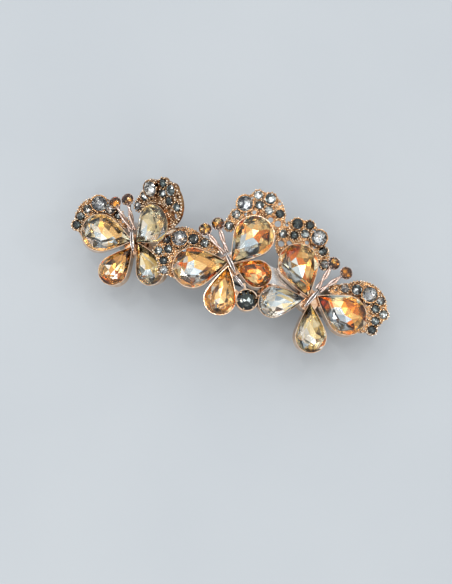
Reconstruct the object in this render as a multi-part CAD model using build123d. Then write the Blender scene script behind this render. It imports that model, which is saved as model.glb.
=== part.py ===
"""Rhinestone hair clip: three jewelled butterflies in a row on an arched spring barrette.

X runs along the clip, from the hinge at -X to the catch at +X.  Y runs across it, towards the
butterflies' heads.  +Z points out of the stones, away from the head.  The clip lies on its hinge
ears and catch wings at Z = 0.  The frame's origin is the middle of the whole clip's box, at its
lowest face.  All lengths are in millimetres.
"""

from build123d import *
import math
import os

# ---- the arch that everything sits on -----------------------------------------------------
ARCH_RADIUS = 88.0  # top face of the base plate
BASE_TOP = 13.5  # height of that face at mid length
BASE_THICKNESS = 0.8
BASE_HALF_LENGTH = 31.0
BASE_WIDTH = 7.0
CLIP_Y = -0.1  # the barrette's centre line

# ---- barrette: hinge end ------------------------------------------------------------------
PIN_X, PIN_Z = -28.8, 1.7
PIN_RADIUS = 0.7
PIN_HEAD_RADIUS, PIN_HEAD_LENGTH = 1.15, 0.4
EAR_THICKNESS, EAR_HALF_LENGTH = 0.7, 1.9
EAR_HOLE_CLEARANCE = 0.02
KNUCKLE_RADIUS, KNUCKLE_CLEARANCE = 1.35, 0.05
KNUCKLE_SIDE_GAP = 0.3

# ---- barrette: clasp lever ----------------------------------------------------------------
LEVER_WIDTH, LEVER_THICKNESS = 5.0, 0.8
LEVER_START_X, LEVER_END_X = -29.6, 25.2  # the bowed strip, from knuckle to flat tongue
LEVER_TOP_MID, LEVER_TOP_END = 4.0, 2.2
TONGUE_TIP_X, TONGUE_CORNER = 31.0, 1.2
WINDOW_X, WINDOW_LENGTH, WINDOW_WIDTH = 28.2, 3.0, 3.4
LEVER_SLOT_LENGTH, LEVER_SLOT_WIDTH = 30.0, 1.4
TONGUE_LAP = 0.6  # how far the tongue runs into the bowed strip

# ---- barrette: tension bow ----------------------------------------------------------------
BOW_HALF_LENGTH, BOW_WIDTH, BOW_THICKNESS = 24.5, 5.0, 0.4
BOW_TOP_MID = 6.6
BOW_SEAT_GAP = 0.03

# ---- barrette: catch ----------------------------------------------------------------------
SADDLE_X, SADDLE_LENGTH, SADDLE_WIDTH, SADDLE_BOTTOM = 28.2, 4.2, 5.0, 6.02
RIVET_RADIUS, RIVET_HEAD_RADIUS, RIVET_HEAD_LENGTH = 0.8, 1.4, 0.4
PRONG_ROOT_Z = 5.9
PRONG_Y, PRONG_THICKNESS, PRONG_LENGTH = 1.15, 0.5, 2.2  # mid plane of each prong, at rest
HOOK_REACH, HOOK_TOP, HOOK_BOTTOM, HOOK_CHAMFER = 0.55, 1.2, 0.6, 0.25
ARM_BOTTOM, ARM_END_X = 3.4, 33.6
WING_X, WING_LENGTH, WING_THICKNESS, WING_SPREAD = 32.6, 2.4, 0.7, 2.4
WING_TOP = 5.5

# ---- settings and stones ------------------------------------------------------------------
GIRDLE_HEIGHT = 4.0  # stones' girdle plane above the base plate's top face
CUP_WALL, CUP_FLOOR, CUP_RIM = 0.2, 0.5, 0.05
POCKET_CLEARANCE = 0.04
POCKET_MOUTH = 4.0  # how far a pocket is cut free above its stone's girdle
PEAR_CROWN, PEAR_GIRDLE, PEAR_PAVILION = 1.7, 0.2, 2.3
PEAR_FACETS = 16
PEAR_TABLE_SHARE = 0.58
PEAR_CULET_SHARE = 0.75  # where the culet lies, from the middle to the round end's centre
PAVILION_RING_SHARE, PAVILION_RING_DEPTH = 0.52, 0.62
SIDE_BULGE = 2.6  # radius of a pear's flank, as a multiple of its length
POINT_GROWTH = 1.5  # how far a wall of 1 mm carries a pear's point outward
HUB_X, HUB_RADIUS, HUB_TOP = -0.4, 2.8, -0.6
SPINE_LENGTH, SPINE_WIDTH, SPINE_HEIGHT = 4.5, 1.0, 0.9
BOSS_RADIUS, BOSS_HEIGHT, BOSS_SINK = 3.2, 1.6, 0.5
BODY_LENGTH, BODY_WIDTH, BODY_HEIGHT, BODY_TAPER = 6.4, 1.5, 1.0, 24.0
ANTENNA_RADIUS, ANTENNA_GAP, ANTENNA_LAP = 0.38, 0.42, 0.2
ANTENNA_SLOPE, ANTENNA_ARCH, ANTENNA_END_RISE = 0.5, 0.5, 0.5
ANTENNA_STONE, ANTENNA_CUP_WALL = 3.1, 0.2
ANTENNA_CUP_HEIGHT, ANTENNA_CUP_FLOOR = 1.5, 0.3
PLATE_TOP, PLATE_THICKNESS = -0.6, 1.2  # pave plates, from the girdle plane
PLATE_CLEARANCE, PLATE_LAND = 0.03, 0.35
BEZEL_PROUD = 0.1  # how far a bezel stands above its stone's girdle
PIERCING_DEPTH = 8.0
STONE_ROOM_HEIGHT = 2.4
# trade sizes of the round stones: diameter, girdle height above the plate, bezel wall
ROUND_SIZES = {
    "accent": (4.0, 0.9, 0.35),
    "medium": (2.8, 0.4, 0.25),
    "small": (2.2, 0.15, 0.0),
}
ROUND_FACETS = 8
ROUND_CROWN_SHARE, ROUND_PAVILION_SHARE, ROUND_GIRDLE_SHARE = 0.2, 0.38, 0.03
ROUND_TABLE_SHARE = 0.56

# The crescent plate that hugs a spread wing, in its stone's frame: u runs outward along the
# stone and v towards the butterfly's head, from the stone's middle.
CRESCENT = {
    "disc": (3.9, 4.2, 6.8),
    "arm": ((0.8, 7.3), (-4.4, 4.2), 1.35),
    "stones": [
        ("accent", 4.1, 8.0),
        ("medium", 0.6, 7.3),
        ("small", -2.1, 5.9),
        ("small", 7.4, 8.4),
        ("small", 7.4, 5.8),
        ("small", 9.9, 5.7),
        ("small", 9.0, 3.0),
        ("small", 9.4, 0.6),
    ],
    "holes": [(5.0, 5.5, 0.3), (10.4, 3.0, 0.25), (2.3, 9.6, 0.35), (-3.9, 4.5, 0.35)],
}
# The same on the left butterfly, whose stones are a size smaller.
SMALL_CRESCENT = {
    "disc": (3.0, 3.3, 6.0),
    "arm": ((1.0, 6.7), (-3.8, 4.2), 1.35),
    "stones": [
        ("accent", 3.9, 7.3),
        ("medium", 0.8, 6.8),
        ("small", -1.7, 5.8),
        ("small", 6.5, 5.2),
        ("small", 7.7, 2.9),
        ("small", 8.1, 0.5),
    ],
    "holes": [(1.9, 8.7, 0.3), (-3.4, 4.5, 0.35)],
}
# The fan plate that stands beyond an upright wing.
FAN = {
    "disc": (7.0, 1.9, 6.3),
    "arm": ((3.4, 7.2), (0.0, 6.7), 1.45),
    "stones": [
        ("accent", 6.9, 7.1),
        ("small", 10.8, 5.9),
        ("medium", 12.0, 2.8),
        ("small", 9.0, 4.0),
        ("small", 9.4, 1.2),
        ("small", 10.5, -1.5),
        ("small", 3.3, 7.2),
        ("small", -0.1, 6.7),
    ],
    "holes": [
        (6.7, 3.9, 0.55),
        (4.9, 5.3, 0.35),
        (7.8, -0.6, 0.7),
        (8.2, -2.7, 0.85),
        (12.5, 0.2, 0.45),
        (9.2, 6.6, 0.4),
    ],
}
UPPER, LOWER = (14.0, 10.2), (12.5, 8.0)
SMALL_UPPER, SMALL_LOWER = (13.0, 9.6), (11.6, 7.6)
TUCKED_LOWER = (10.0, 7.0)
# Each butterfly: its body's foot on the arch, its head's direction in the plane, how much
# further its body bar is turned, and its wings.  A wing has its stone's size, where the
# stone's point lies in the body's frame (s towards the head, t to the left of it), the
# stone's direction from the head, its lift from the plane, its roll about itself, its plate.
# An antenna has the place of its cup's foot: s, t and the height above the girdle plane.
BUTTERFLIES = {
    "left": {
        "x": -24.8,
        "y": -2.95,
        "head": 112.0,
        "body_turn": 4.0,
        "wings": {
            "upper_left": (SMALL_UPPER, (0.5, 0.8), 76.0, 27.0, -5.0, SMALL_CRESCENT),
            "upper_right": (SMALL_UPPER, (0.1, -0.7), -67.0, 34.0, 10.0, FAN),
            "lower_left": (SMALL_LOWER, (-1.3, 0.6), 137.0, -3.0, -8.0, None),
            "lower_right": (SMALL_LOWER, (-0.5, -1.3), -160.0, -12.0, 10.0, None),
        },
        "antennae": ((9.25, 3.1, 4.4), (9.55, -0.45, 4.7)),
    },
    "middle": {
        "x": 0.1,
        "y": -0.65,
        "head": 130.0,
        "body_turn": 5.0,
        "wings": {
            "upper_left": (UPPER, (0.7, 0.7), 79.0, 2.0, -3.0, CRESCENT),
            "upper_right": (UPPER, (0.2, -0.5), -60.0, 9.0, 2.0, FAN),
            "lower_left": (LOWER, (-0.5, 0.9), 146.0, -5.0, -1.0, None),
            "lower_right": (TUCKED_LOWER, (-0.4, -0.9), -132.0, -4.0, -2.0, None),
        },
        "antennae": ((9.9, 3.3, 2.3), (10.2, -0.3, 2.3)),
    },
    "right": {
        "x": 21.4,
        "y": -1.7,
        "head": 62.0,
        "body_turn": 8.0,
        "wings": {
            "upper_left": (UPPER, (0.0, 0.9), 64.0, -4.0, -8.0, FAN),
            "upper_right": (UPPER, (2.0, -0.8), -75.0, 9.0, -1.0, CRESCENT),
            "lower_left": (LOWER, (-1.0, 1.0), 146.0, 1.0, -18.0, None),
            "lower_right": (LOWER, (-0.9, -0.9), -130.0, -1.0, 2.0, None),
        },
        "antennae": ((9.8, 3.2, 2.3), (10.7, -0.8, 2.3)),
    },
}
# the single round stone that hangs between the middle and right butterflies
DROP_X, DROP_Y, DROP_DIAMETER, DROP_RISE = 6.9, -8.1, 5.2, 0.2
DROP_CUP_WALL, DROP_CUP_HEIGHT, DROP_CUP_RIM = 0.3, 2.3, 0.15
STRUT_TURNS, STRUT_LENGTH, STRUT_WIDTH = (118, 158, 30), 2.6, 0.8
STRUT_OUT, STRUT_DROP = 0.4, 1.5  # a strut's middle from the cup's wall and below the girdle

EPS = 0.02  # gap left where two soldered pieces meet on a curved face
FAR = 40.0  # longer than anything it cuts
NEIGHBOUR_REACH = 16.0  # how far a butterfly's casting reaches along the clip


def polar(radius, degrees):
    """Point at this radius and angle."""
    return radius * math.cos(math.radians(degrees)), radius * math.sin(math.radians(degrees))


def arch_height(x):
    """Height of the base plate's top face at x."""
    return BASE_TOP - ARCH_RADIUS + math.sqrt(ARCH_RADIUS**2 - x * x)


def arc_strip(x0, x1, crown, radius, thickness, sign=1):
    """Face in XZ of a bowed strip: its top passes (0, crown); sign -1 bows it downwards."""
    centre = crown - sign * radius
    inner = radius - sign * thickness
    ends = [math.asin(x / radius) for x in (x0, (x0 + x1) / 2, x1)]
    top = [(radius * math.sin(a), centre + sign * radius * math.cos(a)) for a in ends]
    low = [(inner * math.sin(a), centre + sign * inner * math.cos(a)) for a in ends]
    edges = [
        ThreePointArc(*top),
        Line(top[2], low[2]),
        ThreePointArc(*reversed(low)),
        Line(low[0], top[0]),
    ]
    return Plane.XZ * make_face(edges)


def across(face, width, y=0.0):
    """An XZ face given its width across the clip, centred at y."""
    return Pos(0, y, 0) * extrude(face, amount=width / 2, both=True)


def rod(x, z, radius, y0, y1):
    """Round bar across the clip from y0 to y1."""
    return Pos(x, (y0 + y1) / 2, z) * Rot(90, 0, 0) * Cylinder(radius, abs(y1 - y0))


def block(x0, x1, y0, y1, z0, z1):
    """Box between two corners."""
    return Pos((x0 + x1) / 2, (y0 + y1) / 2, (z0 + z1) / 2) * Box(x1 - x0, y1 - y0, z1 - z0)


def under_base():
    """Everything on or below the base plate's top face, with the solder gap added."""
    return across(
        Plane.XZ * Pos(0, BASE_TOP - ARCH_RADIUS) * Circle(ARCH_RADIUS + EPS), FAR, CLIP_Y
    )


# ---- barrette -----------------------------------------------------------------------------
def bow_radius(half, rise):
    """Radius of an arc of this half chord and rise."""
    return (half * half + rise * rise) / (2 * rise)


def base_plate():
    """Arched steel strip with two hinge ears bent down at its -X end."""
    strip = across(
        arc_strip(-BASE_HALF_LENGTH, BASE_HALF_LENGTH, BASE_TOP, ARCH_RADIUS, BASE_THICKNESS),
        BASE_WIDTH,
        CLIP_Y,
    )
    ear_low, ear_high = PIN_X - EAR_HALF_LENGTH, PIN_X + EAR_HALF_LENGTH
    for side in (-1, 1):
        outer = CLIP_Y + side * BASE_WIDTH / 2
        inner = outer - side * EAR_THICKNESS
        top = arch_height(ear_high) - BASE_THICKNESS / 2
        ear = block(ear_low, ear_high, min(outer, inner), max(outer, inner), 0, top)
        ear = ear & across(
            Plane.XZ * Pos(0, BASE_TOP - ARCH_RADIUS) * Circle(ARCH_RADIUS), FAR, CLIP_Y
        )
        strip = strip + ear
    hole = PIN_RADIUS + EAR_HOLE_CLEARANCE
    strip = strip - rod(PIN_X, PIN_Z, hole, CLIP_Y - BASE_WIDTH, CLIP_Y + BASE_WIDTH)
    rivet = Pos(SADDLE_X, CLIP_Y, BASE_TOP) * Cylinder(RIVET_RADIUS + EPS, FAR)
    return strip - rivet


def hinge_pin():
    """Pin through both ears, with a flattened head outside each."""
    half = BASE_WIDTH / 2
    pin = rod(PIN_X, PIN_Z, PIN_RADIUS, CLIP_Y - half - EPS, CLIP_Y + half + EPS)
    for side in (-1, 1):
        near = CLIP_Y + side * (half + EPS)
        far = near + side * PIN_HEAD_LENGTH
        pin = pin + rod(PIN_X, PIN_Z, PIN_HEAD_RADIUS, near, far)
    return pin


def clasp_lever():
    """Bowed strip: a knuckle on the pin, a slot down its middle, and a tongue with a window."""
    rise = LEVER_TOP_MID - LEVER_TOP_END
    radius = bow_radius(LEVER_END_X, rise)
    knuckle_half = BASE_WIDTH / 2 - EAR_THICKNESS - KNUCKLE_SIDE_GAP
    lever = across(
        arc_strip(LEVER_START_X, LEVER_END_X, LEVER_TOP_MID, radius, LEVER_THICKNESS),
        LEVER_WIDTH,
        CLIP_Y,
    )
    tongue = block(
        LEVER_END_X - TONGUE_LAP,
        TONGUE_TIP_X,
        CLIP_Y - LEVER_WIDTH / 2,
        CLIP_Y + LEVER_WIDTH / 2,
        LEVER_TOP_END - LEVER_THICKNESS,
        LEVER_TOP_END,
    )
    tips = tongue.edges().filter_by(Axis.Z).group_by(Axis.X)[-1]
    tongue = fillet(tips, TONGUE_CORNER)
    knuckle = rod(PIN_X, PIN_Z, KNUCKLE_RADIUS, CLIP_Y - knuckle_half, CLIP_Y + knuckle_half)
    lever = lever + tongue + knuckle
    bore = PIN_RADIUS + KNUCKLE_CLEARANCE
    lever = lever - rod(PIN_X, PIN_Z, bore, CLIP_Y - BASE_WIDTH, CLIP_Y + BASE_WIDTH)
    window = Pos(WINDOW_X, CLIP_Y, 0) * Box(WINDOW_LENGTH, WINDOW_WIDTH, FAR)
    slot = SlotOverall(LEVER_SLOT_LENGTH, LEVER_SLOT_WIDTH)
    slot = extrude(Pos(0, CLIP_Y) * slot, amount=FAR)
    return lever - window - slot


def tension_bow():
    """Thin spring strip, seated by its ends against the base plate and bowed to the lever."""
    seat = arch_height(BOW_HALF_LENGTH) - BASE_THICKNESS / math.cos(
        math.asin(BOW_HALF_LENGTH / ARCH_RADIUS)
    )
    rise = seat - BOW_SEAT_GAP - BOW_TOP_MID
    radius = bow_radius(BOW_HALF_LENGTH, rise)
    face = arc_strip(
        -BOW_HALF_LENGTH, BOW_HALF_LENGTH, BOW_TOP_MID, radius, BOW_THICKNESS, -1
    )
    return across(face, BOW_WIDTH, CLIP_Y)


def catch_saddle():
    """Block riveted under the base plate, which the two spring prongs hang from."""
    saddle = block(
        SADDLE_X - SADDLE_LENGTH / 2,
        SADDLE_X + SADDLE_LENGTH / 2,
        CLIP_Y - SADDLE_WIDTH / 2,
        CLIP_Y + SADDLE_WIDTH / 2,
        SADDLE_BOTTOM,
        BASE_TOP,
    )
    inner = ARCH_RADIUS - BASE_THICKNESS - EPS
    saddle = saddle & across(Plane.XZ * Pos(0, BASE_TOP - ARCH_RADIUS) * Circle(inner), FAR)
    return saddle - Pos(SADDLE_X, CLIP_Y, SADDLE_BOTTOM) * Cylinder(RIVET_RADIUS + EPS, FAR)


def catch_rivet():
    """Rivet through the base plate and the saddle: round head above, flush below."""
    top = arch_height(SADDLE_X - RIVET_HEAD_RADIUS) + EPS
    bottom = SADDLE_BOTTOM
    shank = Pos(SADDLE_X, CLIP_Y, (top + bottom) / 2) * Cylinder(RIVET_RADIUS, top - bottom)
    head = Cylinder(RIVET_HEAD_RADIUS, RIVET_HEAD_LENGTH)
    return shank + Pos(SADDLE_X, CLIP_Y, top + RIVET_HEAD_LENGTH / 2) * head


def catch_prong(side):
    """One spring prong: hook through the lever's window, and a finger wing past its tip."""
    low_x, high_x = WINDOW_X - PRONG_LENGTH / 2, WINDOW_X + PRONG_LENGTH / 2
    inner, outer = PRONG_Y - PRONG_THICKNESS / 2, PRONG_Y + PRONG_THICKNESS / 2
    leg = block(low_x, high_x, inner, outer, HOOK_BOTTOM, PRONG_ROOT_Z)
    hook = block(low_x, high_x, inner, outer + HOOK_REACH, HOOK_BOTTOM, HOOK_TOP)
    lead_in = hook.edges().filter_by(Axis.X).group_by(Axis.Z)[0].sort_by(Axis.Y)[-1]
    hook = chamfer(lead_in, HOOK_CHAMFER)
    arm = block(low_x, ARM_END_X, inner, outer, ARM_BOTTOM, PRONG_ROOT_Z)
    tilt = math.degrees(math.atan2(WING_SPREAD, WING_TOP))
    reach = math.hypot(WING_SPREAD, WING_TOP) + WING_THICKNESS
    wing = Pos(0, 0, -reach / 2) * Box(WING_LENGTH, WING_THICKNESS, reach)
    middle = (inner + outer) / 2
    wing = Pos(WING_X, middle, WING_TOP) * Rot(tilt, 0, 0) * wing
    prong = (leg + hook + arm + wing) & block(-FAR, FAR, -FAR, FAR, 0, FAR)
    prong = prong if side > 0 else mirror(prong, Plane.XZ)
    return Pos(0, CLIP_Y, 0) * prong


# ---- stones -------------------------------------------------------------------------------
def pear_arcs(length, width, grow=0.0):
    """A pear outline's arcs: the round end's centre, radius and last angle, then the upper
    flank's centre, radius and last angle.  Angles are in radians."""
    centre, r = (length - width) / 2, width / 2 + grow
    tip = -length / 2 - POINT_GROWTH * grow
    reach = centre - tip
    flank = SIDE_BULGE * (reach + r)
    k = flank - r
    start = math.acos((reach**2 + k**2 - flank**2) / (2 * reach * k))
    fx, fy = centre - k * math.cos(start), -k * math.sin(start)
    return (centre, r, start), (fx, fy, flank, math.atan2(-fy, tip - fx))


def pear_point(length, width, share):
    """Point on a pear's outline; share runs from 0 at the round end, anticlockwise, to 1."""
    (centre, r, start), (fx, fy, flank, last) = pear_arcs(length, width)
    side = 1 if share <= 0.5 else -1
    done = 2 * min(share, 1 - share) * (r * start + flank * (last - start))
    if done <= r * start:
        return centre + r * math.cos(done / r), side * r * math.sin(done / r)
    angle = start + (done - r * start) / flank
    return fx + flank * math.cos(angle), side * (fy + flank * math.sin(angle))


def pear_face(length, width, grow=0.0):
    """Outline of a pear stone, point at -X and round end at +X."""
    (centre, r, start), (fx, fy, flank, last) = pear_arcs(length, width, grow)
    joint = (centre + r * math.cos(start), r * math.sin(start))
    halfway = (start + last) / 2
    belly = (fx + flank * math.cos(halfway), fy + flank * math.sin(halfway))
    tip = (fx + flank * math.cos(last), 0.0)
    lower_joint, lower_belly = (joint[0], -joint[1]), (belly[0], -belly[1])
    return make_face(
        [
            ThreePointArc(lower_joint, (centre + r, 0.0), joint),
            ThreePointArc(joint, belly, tip),
            ThreePointArc(tip, lower_belly, lower_joint),
        ]
    )


def faceted(rings, bottom):
    """Closed cut stone from rings of points, top first.  Rings of the same shape are joined by
    flat four-sided facets and rings turned by half a step by triangles; bottom is the culet."""
    faces = [Face(Wire.make_polygon(rings[0][0], close=True))]
    n = len(rings[0][0])
    for (a, turned_a), (b, turned_b) in zip(rings, rings[1:]):
        for i in range(n):
            j = (i + 1) % n
            if turned_a == turned_b:
                loops = [(a[i], b[i], b[j], a[j])]
            elif turned_a:
                loops = [(a[i], b[j], a[j]), (a[i], b[i], b[j])]
            else:
                loops = [(a[i], b[i], a[j]), (b[i], b[j], a[j])]
            faces += [Face(Wire.make_polygon(loop, close=True)) for loop in loops]
    last = rings[-1][0]
    for i in range(n):
        loop = (last[i], bottom, last[(i + 1) % n])
        faces.append(Face(Wire.make_polygon(loop, close=True)))
    solid = Solid(Shell(faces))
    return solid if solid.volume > 0 else Solid(Shell([-f for f in faces]))


def pear_stone(length, width):
    """Pear-cut stone with its girdle at Z = 0."""
    n = PEAR_FACETS
    middle = (length - width) / 2 * PEAR_CULET_SHARE

    def ring(scale, z, turned):
        offset = 0.5 if turned else 0.0
        spots = [pear_point(length, width, (i + offset) / n % 1.0) for i in range(n)]
        return [(middle + (x - middle) * scale, y * scale, z) for x, y in spots], turned

    return faceted(
        [
            ring(PEAR_TABLE_SHARE, PEAR_CROWN, True),
            ring(1.0, PEAR_GIRDLE, False),
            ring(1.0, 0.0, False),
            ring(PAVILION_RING_SHARE, -PAVILION_RING_DEPTH * PEAR_PAVILION, True),
        ],
        (middle, 0, -PEAR_PAVILION),
    )


def round_stone(diameter):
    """Round stone with an eight-sided table, its girdle at Z = 0."""
    n, r = ROUND_FACETS, diameter / 2

    def ring(scale, z, turned):
        offset = 0.5 if turned else 0.0
        spots = [polar(r * scale, 360 * (i + offset) / n) for i in range(n)]
        return [(x, y, z * diameter) for x, y in spots], turned

    return faceted(
        [
            ring(ROUND_TABLE_SHARE, ROUND_CROWN_SHARE, True),
            ring(1.0, ROUND_GIRDLE_SHARE, False),
            ring(1.0, 0.0, False),
        ],
        (0, 0, -ROUND_PAVILION_SHARE * diameter),
    )


# ---- butterflies --------------------------------------------------------------------------
def body_place(spec):
    """Frame of a butterfly on the arch: X to its head, Z out of its stones, at girdle height."""
    lean = math.asin(spec["x"] / ARCH_RADIUS)
    out = Vector(math.sin(lean), 0, math.cos(lean))
    along = Vector(math.cos(lean), 0, -math.sin(lean))
    c, s = polar(1.0, spec["head"])
    head = along * c + Vector(0, 1, 0) * s
    foot = Vector(spec["x"], spec["y"], arch_height(spec["x"]))
    return Location(Plane(foot + out * GIRDLE_HEIGHT, x_dir=head, z_dir=out))


def wing_place(spec, name):
    """Frame of one wing's stone: X outward along the stone, Z out of its table."""
    (length, _), (s, t), turn, lift, roll, _ = spec["wings"][name]
    point = Pos(s, t, 0) * Rot(0, 0, turn) * Rot(0, -lift, 0) * Rot(roll, 0, 0)
    return body_place(spec) * point * Pos(length / 2, 0, 0)


def head_side(spec, name):
    """Which side of a wing's X axis faces the butterfly's head."""
    return -1 if spec["wings"][name][2] > 0 else 1


def pear_prism(size, grow, low, high):
    """Pear outline raised from low to high."""
    return Pos(0, 0, low) * extrude(pear_face(*size, grow), amount=high - low)


def cup_blank(spec, name, grow=0.0):
    """A wing's setting before its pocket is cut."""
    size = spec["wings"][name][0]
    prism = pear_prism(size, CUP_WALL + grow, -PEAR_PAVILION - CUP_FLOOR - grow, CUP_RIM + grow)
    return wing_place(spec, name) * prism


def cup_pocket(spec, name):
    """The room for a wing's stone, open to the top."""
    size = spec["wings"][name][0]
    return wing_place(spec, name) * pear_prism(
        size, POCKET_CLEARANCE, -PEAR_PAVILION - POCKET_CLEARANCE, POCKET_MOUTH
    )


def casting(spec):
    """Cast frame of a butterfly: four cups, the hub between them, its spine and its boss."""
    place = body_place(spec)
    back = -PEAR_PAVILION - CUP_FLOOR
    turn = place * Rot(0, 0, spec["body_turn"])
    metal = place * Pos(HUB_X, 0, (back + HUB_TOP) / 2) * Cylinder(HUB_RADIUS, HUB_TOP - back)
    spine = Box(SPINE_LENGTH, SPINE_WIDTH, SPINE_HEIGHT - back)
    metal = metal + turn * Pos(0, 0, (back + SPINE_HEIGHT) / 2) * spine
    boss = Cylinder(BOSS_RADIUS, BOSS_HEIGHT)
    metal = metal + place * Pos(0, 0, BOSS_HEIGHT / 2 - GIRDLE_HEIGHT - BOSS_SINK) * boss
    for name in spec["wings"]:
        metal = metal + cup_blank(spec, name)
    for name in spec["wings"]:
        metal = metal - cup_pocket(spec, name)
    return metal - under_base()


def butterfly_body(spec):
    """Leaf-shaped bar along a butterfly's spine."""
    half, belly = BODY_LENGTH / 2, BODY_WIDTH / 2
    leaf = make_face(
        [
            ThreePointArc((half, 0), (0, belly), (-half, 0)),
            ThreePointArc((-half, 0), (0, -belly), (half, 0)),
        ]
    )
    bar = extrude(leaf, amount=BODY_HEIGHT, dir=(0, 0, 1), taper=BODY_TAPER)
    turn = body_place(spec) * Rot(0, 0, spec["body_turn"])
    return turn * Pos(0, 0, SPINE_HEIGHT + EPS) * bar


def antenna_place(spec, index):
    """Middle of one antenna cup's floor."""
    return body_place(spec) * Pos(*spec["antennae"][index])


def antenna(spec, index):
    """Wire from the butterfly's head, bent up to a cup for a round stone."""
    place = body_place(spec)
    nose = Pos(BODY_LENGTH / 2 - ANTENNA_LAP, (1, -1)[index] * ANTENNA_GAP, 0)
    x0, y0, _ = (Rot(0, 0, spec["body_turn"]) * nose).position
    s, t, rise = spec["antennae"][index]
    away = Vector(s - x0, t - y0, 0).normalized()
    start = Vector(x0, y0, SPINE_HEIGHT - ANTENNA_RADIUS)
    end = Vector(s, t, rise + ANTENNA_END_RISE)
    middle = (start + end) * 0.5 + Vector(0, 0, ANTENNA_ARCH)
    rising = (away + Vector(0, 0, ANTENNA_SLOPE)).normalized()
    path = Spline(start, middle, end, tangents=[rising, away])
    wire = place * sweep(Plane(origin=start, z_dir=rising) * Circle(ANTENNA_RADIUS), path=path)
    cup = Cylinder(ANTENNA_STONE / 2 + ANTENNA_CUP_WALL, ANTENNA_CUP_HEIGHT)
    pocket = Cylinder(ANTENNA_STONE / 2 + POCKET_CLEARANCE, POCKET_MOUTH)
    pocket = Pos(0, 0, ANTENNA_CUP_FLOOR + POCKET_MOUTH / 2) * pocket
    spot = antenna_place(spec, index)
    return wire + spot * Pos(0, 0, ANTENNA_CUP_HEIGHT / 2) * cup - spot * pocket


def plate_stone_places(spec, name):
    """Kind and frame of each round stone on a wing's plate, at its girdle."""
    plate, side = spec["wings"][name][-1], head_side(spec, name)
    for kind, u, v in plate["stones"]:
        lift = PLATE_TOP + ROUND_SIZES[kind][1]
        yield kind, wing_place(spec, name) * Pos(u, side * v, lift)


def pave_plate(spec, name, grow=0.0):
    """Pierced plate beside a wing, with a pocket for each of its stones."""
    plate, side = spec["wings"][name][-1], head_side(spec, name)
    u, v, r = plate["disc"]
    outline = Pos(u, side * v) * Circle(r + grow)
    if plate["arm"]:
        (u0, v0), (u1, v1), reach = plate["arm"]
        length = math.hypot(u1 - u0, v1 - v0)
        turn = math.degrees(math.atan2(side * (v1 - v0), u1 - u0))
        middle = Location(((u0 + u1) / 2, side * (v0 + v1) / 2, 0), (0, 0, turn))
        outline = outline + middle * SlotCenterToCenter(length, 2 * (reach + grow))
    for kind, u, v in plate["stones"]:
        land = ROUND_SIZES[kind][0] / 2 + PLATE_LAND + grow
        outline = outline + Pos(u, side * v) * Circle(land)
    low = PLATE_TOP - PLATE_THICKNESS - grow
    return wing_place(spec, name) * Pos(0, 0, low) * extrude(
        outline, amount=PLATE_THICKNESS + 2 * grow
    )


def finished_plate(spec, name, clear_of):
    """A wing's plate with bezels, pockets and piercings, trimmed clear of its neighbours."""
    place, side = wing_place(spec, name), head_side(spec, name)
    metal = pave_plate(spec, name)
    for kind, spot in plate_stone_places(spec, name):
        diameter, lift, wall = ROUND_SIZES[kind]
        if wall:
            height = lift + PLATE_THICKNESS + BEZEL_PROUD
            ring = Cylinder(diameter / 2 + wall, height)
            metal = metal + spot * Pos(0, 0, BEZEL_PROUD - height / 2) * ring
    for kind, spot in plate_stone_places(spec, name):
        diameter = ROUND_SIZES[kind][0]
        depth = ROUND_PAVILION_SHARE * diameter + POCKET_CLEARANCE
        pocket = Cylinder(diameter / 2 + POCKET_CLEARANCE, depth + POCKET_MOUTH)
        metal = metal - spot * Pos(0, 0, (POCKET_MOUTH - depth) / 2) * pocket
    for u, v, r in spec["wings"][name][-1]["holes"]:
        metal = metal - place * Pos(u, side * v, PLATE_TOP) * Cylinder(r, PIERCING_DEPTH)
    for other in clear_of:
        metal = metal - other
    return largest(metal)


def stone_rooms(who):
    """Room for the plate stones of the other butterflies, where they reach into this one."""
    x = BUTTERFLIES[who]["x"]
    for other, spec in BUTTERFLIES.items():
        for name, wing in spec["wings"].items():
            if other == who or wing[-1] is None:
                continue
            for kind, spot in plate_stone_places(spec, name):
                if abs(spot.position.X - x) < NEIGHBOUR_REACH:
                    radius = ROUND_SIZES[kind][0] / 2 + POCKET_CLEARANCE
                    yield spot * Cylinder(radius, STONE_ROOM_HEIGHT)


def largest(shape):
    """The biggest solid of a shape, without crumbs."""
    return max(shape.solids(), key=lambda s: s.volume)


# ---- the single drop ----------------------------------------------------------------------
def drop_place():
    """Frame of the single round stone, at its girdle."""
    lean = math.asin(DROP_X / ARCH_RADIUS)
    out = Vector(math.sin(lean), 0, math.cos(lean))
    foot = Vector(DROP_X, DROP_Y, arch_height(DROP_X))
    return Location(Plane(foot + out * (GIRDLE_HEIGHT + DROP_RISE), x_dir=(1, 0, 0), z_dir=out))


def drop_cup(clear_of):
    """Cup for the single stone with soldered struts to its neighbours."""
    place = drop_place()
    radius = DROP_DIAMETER / 2 + DROP_CUP_WALL
    cup = Pos(0, 0, DROP_CUP_RIM - DROP_CUP_HEIGHT / 2) * Cylinder(radius, DROP_CUP_HEIGHT)
    for turn in STRUT_TURNS:
        strut = Pos(radius + STRUT_OUT, 0, -STRUT_DROP) * Box(STRUT_LENGTH, STRUT_WIDTH, STRUT_WIDTH)
        cup = cup + Rot(0, 0, turn) * strut
    depth = ROUND_PAVILION_SHARE * DROP_DIAMETER + POCKET_CLEARANCE
    pocket = Cylinder(DROP_DIAMETER / 2 + POCKET_CLEARANCE, POCKET_MOUTH + depth)
    cup = place * (cup - Pos(0, 0, (POCKET_MOUTH - depth) / 2) * pocket)
    for other in clear_of:
        cup = cup - other
    return largest(cup)


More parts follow.
